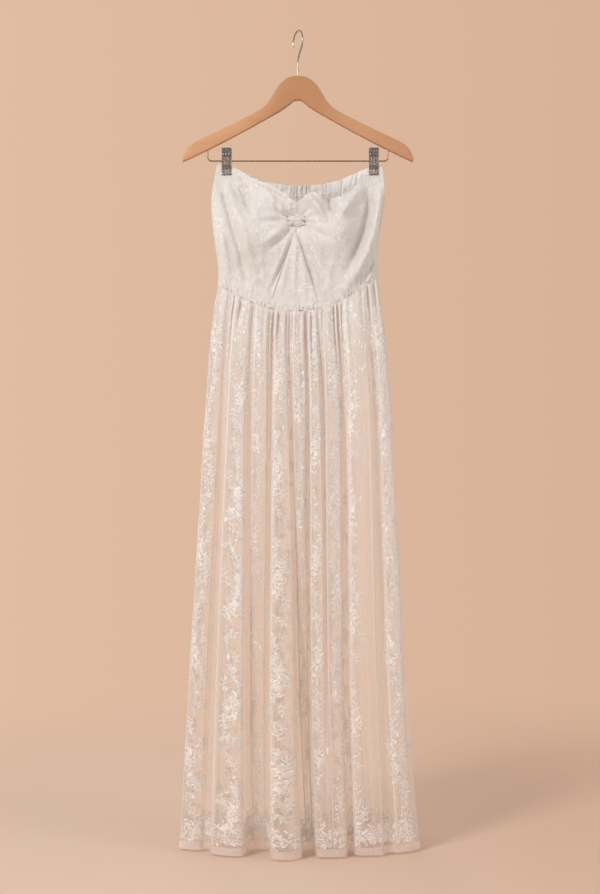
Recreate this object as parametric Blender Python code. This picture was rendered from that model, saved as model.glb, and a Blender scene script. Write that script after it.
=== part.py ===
"""Strapless lace maternity gown, hung by two spring clips from a wooden hanger.

Metres, +Z up. The gown's front faces -Y and +X is on the right of a person who
looks at the front. The origin is the inside top of the hook, where a rail carries
the hanger, so everything else lies below it.

Each cloth piece is a thin wall. Its middle surface is worked out from the sizes
below, and its two faces lie half a wall's thickness to each side of that surface.
"""

import math
from collections import namedtuple

import bmesh
import bpy
import numpy as np
from mathutils import Vector

# ---------------------------------------------------------------- driving sizes
GAP = 0.0003                    # clearance between neighbouring pieces
BODICE_WALL = 0.0014            # lace over its lining
SKIRT_WALL = 0.0012             # lace alone
BAND_WALL = 0.0020              # seam casing and turned hem
FRONT = -1                      # the front panels lie on the -Y side
BACK = 1

HEM_Z = -1.558
HEM_BAND = 0.015
ELASTIC_BAND = 0.021            # shirred elastic along the back's top edge
WAIST_BAND = 0.008
WAIST_Z = -0.472                # level of the waist seam at the side seams
WAIST_HALF = 0.153
WAIST_TILT = 0.04               # the right side hangs a little higher
WAIST_SAG = {FRONT: 0.061, BACK: 0.032}
BACK_NECK_Z = -0.253
BACK_NECK_SAG = 0.037
BACK_NECK_HALF = 0.142
SIDE_TOP_Z = -0.262             # level of the cups' upper edge at the side seams
SIDE_ROUNDING = 0.72            # 1 gives an ellipse in plan, less a squarer one

# The closed outline of the gown at each level: half widths from X = 0 and depths
# from Y = 0. On the skirt the depths are those of the hollows between the folds.
BodyRow = namedtuple("BodyRow", "z left right front back")
BODY_ROWS = (
    BodyRow(-0.252, 0.152, 0.160, 0.030, 0.022),
    BodyRow(-0.300, 0.163, 0.165, 0.036, 0.025),
    BodyRow(-0.345, 0.164, 0.161, 0.043, 0.028),
    BodyRow(-0.400, 0.158, 0.153, 0.044, 0.030),
    BodyRow(-0.455, 0.151, 0.151, 0.039, 0.030),
    BodyRow(-0.520, 0.159, 0.157, 0.037, 0.030),
    BodyRow(-0.600, 0.167, 0.168, 0.035, 0.031),
    BodyRow(-0.970, 0.191, 0.191, 0.030, 0.040),
    BodyRow(-1.260, 0.209, 0.207, 0.021, 0.048),
    BodyRow(-1.558, 0.226, 0.232, 0.010, 0.056),
)

# The front neckline, from the left side seam over both cups to the right one.
NeckRow = namedtuple("NeckRow", "x z")
FRONT_NECK = (
    NeckRow(-0.162, -0.268),
    NeckRow(-0.152, -0.254),
    NeckRow(-0.130, -0.256),
    NeckRow(-0.105, -0.269),
    NeckRow(-0.085, -0.283),
    NeckRow(-0.055, -0.297),
    NeckRow(-0.025, -0.315),
    NeckRow(-0.003, -0.330),
    NeckRow(0.026, -0.312),
    NeckRow(0.048, -0.321),
    NeckRow(0.085, -0.318),
    NeckRow(0.103, -0.305),
    NeckRow(0.118, -0.286),
    NeckRow(0.134, -0.266),
    NeckRow(0.152, -0.254),
    NeckRow(0.165, -0.264),
)

# The midriff inset: a tall triangle between the cups, its foot on the waist seam.
CENTRE_X = -0.003
APEX_Z = -0.380
APEX_SHARE = 0.74               # its height as a share from seam to neckline
INSET_LEFT = -0.054
INSET_RIGHT = 0.040

# Soft ridges (rise above 0) and troughs (below 0) of the front bodice. Each runs
# from one point to another, bowed sideways by its bow, and fades at its ends.
Crease = namedtuple("Crease", "x0 z0 x1 z1 bow width rise")
CREASES = (
    Crease(-0.134, -0.285, -0.088, -0.452, 0.010, 0.015, 0.0080),
    Crease(-0.148, -0.290, -0.116, -0.410, 0.008, 0.014, -0.0045),
    Crease(-0.106, -0.280, -0.098, -0.335, 0.000, 0.014, -0.0050),
    Crease(0.142, -0.285, 0.070, -0.480, -0.018, 0.015, 0.0090),
    Crease(0.128, -0.285, 0.085, -0.430, -0.014, 0.016, -0.0060),
    Crease(0.064, -0.318, 0.066, -0.358, 0.000, 0.018, -0.0060),
    Crease(-0.020, -0.390, -0.060, -0.432, 0.002, 0.015, -0.0040),
)
# Round swellings of the front: the two cups, and the pull of the gathered centre.
Swelling = namedtuple("Swelling", "x z radius rise")
SWELLINGS = (
    Swelling(-0.072, -0.372, 0.046, 0.012),
    Swelling(0.078, -0.385, 0.046, 0.011),
    Swelling(-0.003, -0.366, 0.034, -0.010),
)

# Skirt folds from the left side seam to the right one. `top` and `hem` give the
# fold's right edge as a share of the width; the rises are how far its crest stands
# out of the hollows; `lean` moves the crest sideways; `joined` is how far the
# hollow on its right has closed at the hem.
Fold = namedtuple("Fold", "top hem rise_top rise_mid rise_hem lean joined")
FOLDS = {
    FRONT: (
        Fold(0.096, 0.116, 0.010, 0.018, 0.014, 0.0, 0.0),
        Fold(0.222, 0.299, 0.013, 0.032, 0.064, 0.3, 0.0),
        Fold(0.346, 0.365, 0.012, 0.015, 0.002, 0.0, 0.0),
        Fold(0.447, 0.526, 0.013, 0.034, 0.090, -0.4, 0.0),
        Fold(0.551, 0.560, 0.011, 0.013, 0.002, 0.0, 0.0),
        Fold(0.632, 0.628, 0.012, 0.030, 0.064, 0.0, 1.0),
        Fold(0.747, 0.705, 0.012, 0.030, 0.064, 0.0, 0.0),
        Fold(0.919, 0.863, 0.015, 0.036, 0.058, -0.4, 0.0),
        Fold(1.000, 1.000, 0.010, 0.020, 0.026, 0.1, 0.0),
    ),
    BACK: (
        Fold(0.110, 0.125, 0.010, 0.016, 0.018, 0.0, 0.0),
        Fold(0.240, 0.270, 0.012, 0.022, 0.034, -0.2, 0.0),
        Fold(0.365, 0.380, 0.011, 0.020, 0.022, 0.2, 0.0),
        Fold(0.495, 0.520, 0.012, 0.024, 0.036, 0.0, 0.0),
        Fold(0.610, 0.625, 0.011, 0.020, 0.024, -0.2, 0.0),
        Fold(0.750, 0.765, 0.012, 0.024, 0.036, 0.3, 0.0),
        Fold(0.885, 0.880, 0.012, 0.022, 0.028, 0.0, 0.0),
        Fold(1.000, 1.000, 0.010, 0.016, 0.016, 0.0, 0.0),
    ),
}
FOLD_STEEPNESS = 0.70           # 0 gives soft waves, 1 upright sides
FOLD_CREST_SHARE = 0.25         # how much wider a crest is than a hollow
FOLD_LEVELS = (0.0, 0.09, 0.42, 1.0)    # share of the drop: seam, top, mid, hem
SEAM_RISE = 0.003               # the gathers are almost flat where they are sewn

# Hanger
# Upright sections of one arm from the middle to the tip: points on its upper edge
# and on its lower edge.
ArmSection = namedtuple("ArmSection", "upper_x upper_z lower_x lower_z")
ARM_SECTIONS = (
    ArmSection(0.0000, -0.0850, 0.0000, -0.1310),
    ArmSection(0.0135, -0.0864, 0.0075, -0.1330),
    ArmSection(0.0265, -0.0932, 0.0200, -0.1425),
    ArmSection(0.0375, -0.1045, 0.0335, -0.1520),
    ArmSection(0.0470, -0.1195, 0.0480, -0.1602),
    ArmSection(0.0565, -0.1345, 0.0650, -0.1698),
    ArmSection(0.0700, -0.1475, 0.0830, -0.1798),
    ArmSection(0.0950, -0.1618, 0.1070, -0.1930),
    ArmSection(0.1420, -0.1850, 0.1500, -0.2155),
    ArmSection(0.1900, -0.2078, 0.1920, -0.2362),
    ArmSection(0.2065, -0.2180, 0.2060, -0.2430),
    ArmSection(0.2160, -0.2305, 0.2150, -0.2470),
    ArmSection(0.2212, -0.2450, 0.2195, -0.2490),
)
ARM_CURVED_SECTIONS = 7
WOOD_THICKNESS = 0.0125
WOOD_EDGE = 0.0028
WIRE_RADIUS = 0.0016
BAR_RADIUS = 0.0014
DRILL_CLEARANCE = 0.0004
HOOK_RADIUS = 0.0205            # to the wire's middle
HOOK_TURN = math.radians(26.5)  # the hook is swivelled this far off square
HOOK_STEM_TOP = -0.059
HOOK_STEM_FOOT = -0.103
BAR_Z = -0.247
BAR_HALF = 0.172
BAR_END_Z = -0.214
CLIP_X = (-0.136, 0.145)
CLIP_WIDTH = 0.0185
CLIP_TOP = -0.223
CLIP_FOOT = -0.274
CLIP_PLATE = 0.0013
CLIP_NAMES = ("left", "right")
CLOTH_GRIP = 0.00185            # half the space that the jaws leave for the cloth


# ---------------------------------------------------------------- small helpers
def through(keys, values, at):
    """Smooth curve through a short table whose keys rise or fall steadily."""
    if keys[0] > keys[-1]:
        keys = keys[::-1]
        values = values[::-1]
    at = min(max(at, keys[0]), keys[-1])
    i = min(max(int(np.searchsorted(keys, at)) - 1, 0), len(keys) - 2)
    slopes = [(values[k + 1] - values[k]) / (keys[k + 1] - keys[k])
              for k in range(len(keys) - 1)]
    before = slopes[max(i - 1, 0)]
    after = slopes[min(i + 1, len(slopes) - 1)]
    step = keys[i + 1] - keys[i]
    start = 0.5 * (before + slopes[i]) * step
    finish = 0.5 * (slopes[i] + after) * step
    t = (at - keys[i]) / step
    return (values[i] * (2 * t**3 - 3 * t**2 + 1) + start * (t**3 - 2 * t**2 + t)
            + values[i + 1] * (3 * t**2 - 2 * t**3) + finish * (t**3 - t**2))


def ease(low, high, value):
    """0 below low, 1 above high, and a soft S between them."""
    t = min(max((value - low) / (high - low), 0.0), 1.0)
    return t * t * (3.0 - 2.0 * t)


def mix(a, b, share):
    return a + (b - a) * share


def body(column, z):
    return through([row.z for row in BODY_ROWS],
                   [getattr(row, column) for row in BODY_ROWS], z)


def waist_z(side, x):
    """The waist seam hangs in a shallow bow between the side seams."""
    reach = min(abs(x) / WAIST_HALF, 1.15)
    return WAIST_Z + WAIST_TILT * x - WAIST_SAG[side] * (1.0 - reach**2)


def front_neck_z(x):
    return through([row.x for row in FRONT_NECK], [row.z for row in FRONT_NECK], x)


def back_neck_z(x):
    reach = min(abs(x - 0.004) / BACK_NECK_HALF, 1.0)
    corner = 0.010 * ease(0.150, 0.166, abs(x))
    return BACK_NECK_Z - BACK_NECK_SAG * (1.0 - reach**2) - corner


def neck_z(side, x):
    return front_neck_z(x) if side == FRONT else back_neck_z(x)


# ---------------------------------------------------------------- bodice surface
def clip_pinch(x, z):
    """0 where a clip holds front and back together, rising to 1 away from it."""
    free = 1.0
    for clip_x in CLIP_X:
        aside = max(abs(x - clip_x) - 0.5 * CLIP_WIDTH - 0.003, 0.0)
        below = max(CLIP_FOOT - 0.012 - z, 0.0)
        free = min(free, ease(0.0, 0.070, math.hypot(aside, 0.8 * below)))
    return free


def crease_height(x, z, crease):
    """Soft ridge or trough: a bell across it and an eased start and finish."""
    run = Vector((crease.x1 - crease.x0, crease.z1 - crease.z0))
    along = Vector((x - crease.x0, z - crease.z0)).dot(run) / run.length_squared
    if not -0.25 < along < 1.25:
        return 0.0
    side_way = Vector((-run.y, run.x)).normalized()
    across = Vector((x - crease.x0, z - crease.z0)).dot(side_way)
    bowed = across + crease.bow * 4.0 * along * (1.0 - along)
    fade = ease(-0.25, 0.15, along) * (1.0 - ease(0.80, 1.25, along))
    return crease.rise * fade * math.exp(-(bowed / crease.width) ** 2)


def front_relief(x, z):
    height = sum(crease_height(x, z, crease) for crease in CREASES)
    for swelling in SWELLINGS:
        distance = math.hypot(x - swelling.x, z - swelling.z) / swelling.radius
        height += swelling.rise * math.exp(-distance**2)
    return height


def girth(level):
    """Half width of the gown at a level, and the X of its middle."""
    left = body("left", level)
    right = body("right", level)
    return 0.5 * (left + right), 0.5 * (right - left)


def tube_depth(side, x, z, level):
    """Depth of the rounded tube at x, without folds or creases. `level` is where
    the same line of cloth meets the side seam: it sets the width."""
    half, middle = girth(level)
    share = min(abs(x - middle) / half, 1.0)
    depth = body("front" if side == FRONT else "back", z)
    return depth * (1.0 - share ** (2.0 / SIDE_ROUNDING)) ** (0.5 * SIDE_ROUNDING)


def bodice_y(side, x, z, level):
    """Middle surface of the bodice."""
    depth = tube_depth(side, x, z, level)
    if side == FRONT:
        inward = ease(0.0, 0.030, depth)
        depth += front_relief(x, z) * inward
    return side * (0.5 * (GAP + BODICE_WALL) + depth * clip_pinch(x, z))


def inset_edge(side_x, share):
    """A point of the line where a cup meets the midriff inset, and above its apex
    the line where the two cups meet. 0 is the waist seam, 1 the neckline."""
    if share < APEX_SHARE:
        foot_z = waist_z(FRONT, side_x)
        rise = share / APEX_SHARE
        return mix(side_x, CENTRE_X, rise), mix(foot_z, APEX_Z, rise)
    rise = (share - APEX_SHARE) / (1.0 - APEX_SHARE)
    return CENTRE_X, mix(APEX_Z, front_neck_z(CENTRE_X), rise)


def cup_surface(hand):
    """Surface of one front cup: across 0 is the side seam, 1 the inner edge."""
    foot_x = INSET_LEFT if hand < 0 else INSET_RIGHT

    def point(across, up):
        level = mix(WAIST_Z, SIDE_TOP_Z, up)
        half, middle = girth(level)
        inner_x, inner_z = inset_edge(foot_x, up)
        inner_x += hand * 0.5 * GAP
        last_angle = math.acos(hand * (inner_x - middle) / half)
        x = middle + hand * half * math.cos(across * last_angle)
        z = mix(waist_z(FRONT, x), front_neck_z(x), up)
        z_at_edge = mix(waist_z(FRONT, inner_x), front_neck_z(inner_x), up)
        z += (inner_z - z_at_edge) * across**2
        return Vector((x, bodice_y(FRONT, x, z, level), z))

    return point


def inset_surface(across, up):
    """Surface of the midriff inset; it stops just under the apex."""
    share = (APEX_SHARE - 0.014) * up
    left_x, left_z = inset_edge(INSET_LEFT, share)
    right_x, right_z = inset_edge(INSET_RIGHT, share)
    x = mix(left_x + 0.5 * GAP, right_x - 0.5 * GAP, across)
    straight = mix(left_z, right_z, across)
    chord = mix(waist_z(FRONT, INSET_LEFT), waist_z(FRONT, INSET_RIGHT), across)
    z = straight + (waist_z(FRONT, x) - chord) * (1.0 - up)
    return Vector((x, bodice_y(FRONT, x, z, mix(WAIST_Z, SIDE_TOP_Z, share)), z))


def back_surface(low, high):
    """Surface of the back between two lines given as functions of x."""

    def point(across, up):
        level = mix(low(WAIST_HALF), high(WAIST_HALF), up)
        half, middle = girth(level)
        x = middle - half * math.cos(math.pi * across)
        z = mix(low(x), high(x), up)
        return Vector((x, bodice_y(BACK, x, z, level), z))

    return point


# ---------------------------------------------------------------- skirt surface
def fold_edges(side, drop):
    """Shares of the width where the folds meet, from side seam to side seam."""
    return [0.0] + [mix(fold.top, fold.hem, drop) for fold in FOLDS[side]]


def share_to_angle(share):
    return math.acos(1.0 - 2.0 * share)


def fold_rise(fold, drop):
    rises = (SEAM_RISE, fold.rise_top, fold.rise_mid, fold.rise_hem)
    return through(list(FOLD_LEVELS), list(rises), drop)


def fold_height(side, position, drop):
    """How far the cloth stands out of the hollow line at a fold position."""
    folds = FOLDS[side]
    i = min(int(position), len(folds) - 1)
    part = position - i
    wave = math.sin(math.pi * part) ** 1.5
    hollow_owner = folds[i] if part > 0.5 else folds[i - 1]
    filled = hollow_owner.joined * ease(0.2, 0.9, drop)
    return fold_rise(folds[i], drop) * mix(wave, 1.0, filled)


def fold_across(fold, part):
    """Share of a fold's width reached at a share of its cloth. It moves fast over
    the crest and the hollow and slowly down the two steep sides."""
    even = (part + FOLD_STEEPNESS * math.sin(4 * math.pi * part) / (4 * math.pi)
            - FOLD_CREST_SHARE * math.sin(2 * math.pi * part) / (2 * math.pi))
    return even + 0.25 * fold.lean * math.sin(math.pi * even) ** 2


def skirt_surface(side, low, high):
    """Skirt panel between two lines. `across` counts folds along the cloth, so the
    columns of the mesh follow the folds and their steep sides."""
    count = len(FOLDS[side])

    def point(across, up):
        position = across * count
        i = min(int(position), count - 1)
        level = mix(low(WAIST_HALF), high(WAIST_HALF), up)
        drop = (WAIST_Z - level) / (WAIST_Z - HEM_Z)
        drop = min(max(drop, 0.0), 1.0)
        edges = fold_edges(side, drop)
        angle = mix(share_to_angle(edges[i]), share_to_angle(edges[i + 1]),
                    fold_across(FOLDS[side][i], position - i))
        half, middle = girth(level)
        x = middle - half * math.cos(angle)
        z = mix(low(x), high(x), up)
        depth = tube_depth(side, x, z, level)
        depth += fold_height(side, position, drop) * ease(0.0, 0.012, depth)
        return Vector((x, side * (0.5 * (GAP + SKIRT_WALL) + depth), z))

    return point


# ---------------------------------------------------------------- building solids
def material(name, colour, roughness, metallic=0.0):
    made = bpy.data.materials.new(name)
    made.use_nodes = True
    shader = made.node_tree.nodes["Principled BSDF"]
    shader.inputs["Base Color"].default_value = (*colour, 1.0)
    shader.inputs["Roughness"].default_value = roughness
    shader.inputs["Metallic"].default_value = metallic
    made.diffuse_color = (*colour, 1.0)
    return made


def add_object(name, mesh_builder, finish, smooth_angle=50.0):
    """Turn a bmesh into a named object with its material and soft shading."""
    bmesh.ops.recalc_face_normals(mesh_builder, faces=mesh_builder.faces)
    mesh = bpy.data.meshes.new(name)
    mesh_builder.to_mesh(mesh)
    mesh_builder.free()
    mesh.materials.append(finish)
    mesh.shade_smooth()
    mesh.set_sharp_from_angle(angle=math.radians(smooth_angle))
    made = bpy.data.objects.new(name, mesh)
    bpy.context.scene.collection.objects.link(made)
    return made


def face_direction(surface, across, up):
    """Unit normal of a surface, by small steps along it."""
    step = 2e-3
    a0, a1 = max(across - step, 0.0), min(across + step, 1.0)
    u0, u1 = max(up - step, 0.0), min(up + step, 1.0)
    sideways = surface(a1, up) - surface(a0, up)
    upward = surface(across, u1) - surface(across, u0)
    return sideways.cross(upward).normalized()


def cloth_wall(name, surface, side, columns, rows, wall, finish,
               low=None, high=None, ends=("seam", "seam")):
    """Closed thin solid on a surface.

    `rows` is a number of equal rows or a list of shares. `low` and `high` are the
    lines of the bottom and top edges, as functions of x: both faces end on them,
    so neighbouring pieces meet edge to edge. An end is "seam" where front meets
    back at the side, or "butt" where the piece meets its neighbour face to face.
    """
    shares = rows if isinstance(rows, (list, tuple)) else [k / rows for k in range(rows + 1)]
    build = bmesh.new()
    layers = {1: [], -1: []}
    for j, up in enumerate(shares):
        line = {1: [], -1: []}
        for i in range(columns + 1):
            across = i / columns
            middle = surface(across, up)
            out = face_direction(surface, across, up)
            if out.y * side < 0.0:
                out = -out
            edge_line = low if j == 0 else high if j == len(shares) - 1 else None
            if edge_line:
                out = Vector((out.x, out.y, 0.0)).normalized()
            if i in (0, columns):
                if ends[0 if i == 0 else 1] == "butt":
                    out = Vector((0.0, float(side), 0.0))
                else:
                    middle.y = side * 0.5 * (GAP + wall * abs(out.y))
            for face in (1, -1):
                spot = middle + out * (0.5 * wall * face)
                if edge_line:
                    spot.z = edge_line(spot.x)
                spot.y = side * max(side * spot.y, 0.5 * GAP)
                line[face].append(build.verts.new(spot))
        for face in (1, -1):
            layers[face].append(line[face])
    last = len(shares) - 1
    for j in range(last):
        for i in range(columns):
            for face in (1, -1):
                grid = layers[face]
                quad = (grid[j][i], grid[j][i + 1], grid[j + 1][i + 1], grid[j + 1][i])
                build.faces.new(quad if face == 1 else quad[::-1])
    for i in range(columns):
        for j in (0, last):
            build.faces.new((layers[1][j][i], layers[1][j][i + 1],
                             layers[-1][j][i + 1], layers[-1][j][i]))
    for j in range(last):
        for i in (0, columns):
            build.faces.new((layers[1][j][i], layers[1][j + 1][i],
                             layers[-1][j + 1][i], layers[-1][j][i]))
    return add_object(name, build, finish, smooth_angle=75.0)


# ---------------------------------------------------------------- bodice pieces
def make_bodice(lace, trim):
    half_band = 0.5 * WAIST_BAND

    def front_low(x):
        return waist_z(FRONT, x) + half_band + GAP

    def back_low(x):
        return waist_z(BACK, x) + half_band + GAP

    def back_split(x):
        return back_neck_z(x) - ELASTIC_BAND

    cup_rows = [0.0, 0.13, 0.26, 0.39, 0.50, 0.62, APEX_SHARE, 0.80, 0.86, 0.93, 1.0]
    for hand, name in ((-1, "bodice_front_left"), (1, "bodice_front_right")):
        cloth_wall(name, cup_surface(hand), FRONT, 15, cup_rows, BODICE_WALL, lace,
                   low=front_low, ends=("seam", "butt"))
    cloth_wall("midriff_inset", inset_surface, FRONT, 6, 7, BODICE_WALL, lace,
               low=front_low, ends=("butt", "butt"))
    cloth_wall("bodice_back", back_surface(back_low, back_split), BACK, 26, 6,
               BODICE_WALL, lace, low=back_low, high=lambda x: back_split(x) - GAP)
    cloth_wall("back_elastic_band", back_surface(back_split, back_neck_z), BACK, 26, 2,
               BODICE_WALL, trim, low=back_split, high=back_neck_z)


def make_centre_tab(lace):
    """Short ruched loop that gathers the two cups together below the neckline. It
    bulges in the middle and comes back towards the cups at its edges."""
    width, height, stand_off, bulge = 0.034, 0.022, 0.0030, 0.0055
    middle_z = -0.365

    def point(across, up):
        a = 2.0 * across - 1.0
        b = 2.0 * up - 1.0
        x = CENTRE_X + 0.5 * width * a * (1.0 - 0.10 * b * b)
        z = middle_z + 0.5 * height * b * (0.85 + 0.15 * a * a)
        swell = bulge * (1.0 - 0.75 * a * a) * (1.0 - 0.75 * b * b)
        return Vector((x, bodice_y(FRONT, x, z, z) - stand_off - swell, z))

    cloth_wall("centre_tab", point, FRONT, 8, 5, BODICE_WALL, lace, ends=("butt", "butt"))


def make_waist_bands(trim):
    half_band = 0.5 * WAIST_BAND
    for side, name in ((FRONT, "waist_seam_front"), (BACK, "waist_seam_back")):
        def low(x, side=side):
            return waist_z(side, x) - half_band

        def high(x, side=side):
            return waist_z(side, x) + half_band

        def point(across, up, side=side, low=low, high=high):
            half, middle = girth(WAIST_Z)
            x = middle - half * math.cos(math.pi * across)
            z = mix(low(x), high(x), up)
            depth = tube_depth(side, x, z, WAIST_Z)
            return Vector((x, side * (0.5 * (GAP + BAND_WALL) + depth), z))

        cloth_wall(name, point, side, 30, 1, BAND_WALL, trim, low=low, high=high)


# ---------------------------------------------------------------- skirt pieces
def make_skirt(lace, trim):
    half_band = 0.5 * WAIST_BAND
    names = {FRONT: ("skirt_front", "hem_front"), BACK: ("skirt_back", "hem_back")}
    panel_rows = [0.0, 0.15, 0.32, 0.50, 0.67, 0.81, 0.90, 0.96, 1.0]
    for side in (FRONT, BACK):
        def high(x, side=side):
            return waist_z(side, x) - half_band - GAP

        def low(x):
            return HEM_Z + HEM_BAND + GAP

        def hem_low(x):
            return HEM_Z

        def hem_high(x):
            return HEM_Z + HEM_BAND

        columns = 8 * len(FOLDS[side])
        panel_name, hem_name = names[side]
        cloth_wall(panel_name, skirt_surface(side, low, high), side, columns, panel_rows,
                   SKIRT_WALL, lace, low=low, high=high)
        cloth_wall(hem_name, skirt_surface(side, hem_low, hem_high), side, columns, 1,
                   BAND_WALL, trim, low=hem_low, high=hem_high)


# ---------------------------------------------------------------- hanger
def wood_sections():
    """Sections of the whole hanger from its left tip to its right one, with one
    more worked in between each two of the table along the curved middle."""
    columns = [list(column) for column in zip(*ARM_SECTIONS)]
    keys = list(range(len(ARM_SECTIONS)))
    places = [0.5 * k for k in range(2 * ARM_CURVED_SECTIONS)]
    places += keys[ARM_CURVED_SECTIONS:]
    half = [ArmSection(*(through(keys, column, place) for column in columns))
            for place in places]
    left = [ArmSection(-s.upper_x, s.upper_z, -s.lower_x, s.lower_z) for s in half[:0:-1]]
    return left + half


def wood_ring(section):
    """Rounded rectangle round one section: two upright faces and rounded edges."""
    low = Vector((section.lower_x, 0.0, section.lower_z))
    high = Vector((section.upper_x, 0.0, section.upper_z))
    height = (high - low).length
    upright = (high - low).normalized()
    radius = min(WOOD_EDGE, 0.42 * height)
    half = 0.5 * WOOD_THICKNESS
    middle = 0.5 * (low + high)
    ring = []
    for corner in range(4):
        sign_y = 1.0 if corner in (0, 3) else -1.0
        sign_up = 1.0 if corner in (0, 1) else -1.0
        for step in range(3):
            angle = math.radians(90.0 * corner + 45.0 * step)
            y = sign_y * (half - radius) + radius * math.cos(angle)
            up = sign_up * (0.5 * height - radius) + radius * math.sin(angle)
            ring.append(middle + upright * up + Vector((0.0, y, 0.0)))
    return ring


def drill(target, x, top, foot, radius):
    """Cut an upright round hole into the wood for a wire."""
    bpy.ops.mesh.primitive_cylinder_add(vertices=12, radius=radius, depth=top - foot,
                                        location=(x, 0.0, 0.5 * (top + foot)),
                                        rotation=(0.0, 0.0, math.radians(15.0)))
    cutter = bpy.context.active_object
    cutter.name = "cutter_" + target.name + f"_{int(round(x * 1000))}"
    cutter.hide_render = True
    cutter.display_type = "WIRE"
    cut = target.modifiers.new("drill", "BOOLEAN")
    cut.operation = "DIFFERENCE"
    cut.solver = "EXACT"
    cut.object = cutter


def make_wood(beech):
    build = bmesh.new()
    rings = [[build.verts.new(spot) for spot in wood_ring(section)]
             for section in wood_sections()]
    count = len(rings[0])
    for here, there in zip(rings, rings[1:]):
        for i in range(count):
            j = (i + 1) % count
            build.faces.new((here[i], here[j], there[j], there[i]))
    build.faces.new(rings[0])
    build.faces.new(rings[-1])
    wood = add_object("hanger_wood", build, beech)
    drill(wood, 0.0, -0.080, HOOK_STEM_FOOT - 0.001, WIRE_RADIUS + DRILL_CLEARANCE)
    for x in (-BAR_HALF, BAR_HALF):
        drill(wood, x, BAR_END_Z + 0.001, -0.250, BAR_RADIUS + DRILL_CLEARANCE)


def wire(name, points, radius, finish):
    """Round wire along a line of points, with closed ends."""
    curve = bpy.data.curves.new(name, "CURVE")
    curve.dimensions = "3D"
    curve.bevel_depth = radius
    curve.bevel_resolution = 3
    curve.use_fill_caps = True
    spline = curve.splines.new("POLY")
    spline.points.add(len(points) - 1)
    for spot, target in zip(points, spline.points):
        target.co = (*spot, 1.0)
    spline.use_smooth = True
    curve.materials.append(finish)
    made = bpy.data.objects.new(name, curve)
    bpy.context.scene.collection.objects.link(made)
    return made


def make_hook(steel):
    """Question-mark hook, swivelled on its stem: it passes in front of the rail,
    over its top and ends behind it."""
    flat = [(0.0, mix(HOOK_STEM_FOOT, HOOK_STEM_TOP, k / 3)) for k in range(3)]
    start_angle = math.radians(-32.0)
    end_angle = math.radians(196.0)
    centre_z = WIRE_RADIUS - HOOK_RADIUS
    first = Vector((HOOK_RADIUS * math.cos(start_angle),
                    centre_z + HOOK_RADIUS * math.sin(start_angle)))
    leaving = Vector((math.sin(start_angle), -math.cos(start_angle)))
    foot = Vector((0.0, HOOK_STEM_TOP))
    handle_a = foot + Vector((0.0, 0.013))
    handle_b = first + leaving * 0.012
    for k in range(9):
        t = k / 9
        spot = (foot * (1 - t)**3 + handle_a * 3 * t * (1 - t)**2
                + handle_b * 3 * t**2 * (1 - t) + first * t**3)
        flat.append((spot.x, spot.y))
    for k in range(25):
        angle = mix(start_angle, end_angle, k / 24)
        flat.append((HOOK_RADIUS * math.cos(angle),
                     centre_z + HOOK_RADIUS * math.sin(angle)))
    forward = (math.sin(HOOK_TURN), -math.cos(HOOK_TURN))
    points = [(h * forward[0], h * forward[1], z) for h, z in flat]
    wire("hanger_hook", points, WIRE_RADIUS, steel)


def make_bar(steel):
    """Bar between the arms, with rounded corners and ends let into the wood."""
    corner = 0.007
    points = [(-BAR_HALF, 0.0, BAR_END_Z)]
    for k in range(6):
        angle = math.radians(180.0 + 90.0 * k / 5)
        points.append((-BAR_HALF + corner + corner * math.cos(angle), 0.0,
                       BAR_Z + corner + corner * math.sin(angle)))
    points += [(-x, y, z) for x, y, z in points[::-1]]
    wire("clip_bar", points, BAR_RADIUS, steel)


def jaw_profile(side):
    """Side view (y, z) of one jaw: a finger plate above the bar, a bow round the
    spring, and a straight tip that grips the cloth."""
    stations = ((0.0084, CLIP_TOP), (0.0081, CLIP_TOP - 0.002), (0.0048, BAR_Z + 0.007),
                (0.0042, BAR_Z), (0.0036, BAR_Z - 0.008), (CLOTH_GRIP, CLIP_FOOT + 0.011),
                (CLOTH_GRIP, CLIP_FOOT + 0.0015), (CLOTH_GRIP, CLIP_FOOT))
    inner = [(side * y, z) for y, z in stations]
    outer = [(side * (y + CLIP_PLATE), z) for y, z in stations]
    return inner, outer


def make_jaw(name, clip_x, side, steel):
    """Pressed plate with three upright ribs on its outer face."""
    inner, outer = jaw_profile(side)
    ribs = 3
    rib_height = 0.0006
    half = 0.5 * CLIP_WIDTH
    columns = []
    for k in range(ribs):
        centre = (k - 1) * CLIP_WIDTH / (ribs + 0.2)
        columns += [(centre - 0.0026, 0.0), (centre - 0.0014, 1.0),
                    (centre + 0.0014, 1.0), (centre + 0.0026, 0.0)]
    columns = [(-half, 0.0)] + columns + [(half, 0.0)]
    build = bmesh.new()
    inside, outside = [], []
    last = len(inner) - 1
    for j, ((y_in, z), (y_out, _)) in enumerate(zip(inner, outer)):
        raised = 0.3 if j in (0, last) else 1.0
        inside.append([build.verts.new((clip_x + x, y_in, z)) for x, _ in columns])
        outside.append([build.verts.new((clip_x + x, y_out + side * rib_height * up * raised, z))
                        for x, up in columns])
    for j in range(last):
        for i in range(len(columns) - 1):
            for grid in (inside, outside):
                build.faces.new((grid[j][i], grid[j][i + 1], grid[j + 1][i + 1], grid[j + 1][i]))
    for i in range(len(columns) - 1):
        for j in (0, last):
            build.faces.new((inside[j][i], inside[j][i + 1], outside[j][i + 1], outside[j][i]))
    for j in range(last):
        for i in (0, len(columns) - 1):
            build.faces.new((inside[j][i], inside[j + 1][i], outside[j + 1][i], outside[j][i]))
    add_object(name, build, steel, smooth_angle=25.0)


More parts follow.
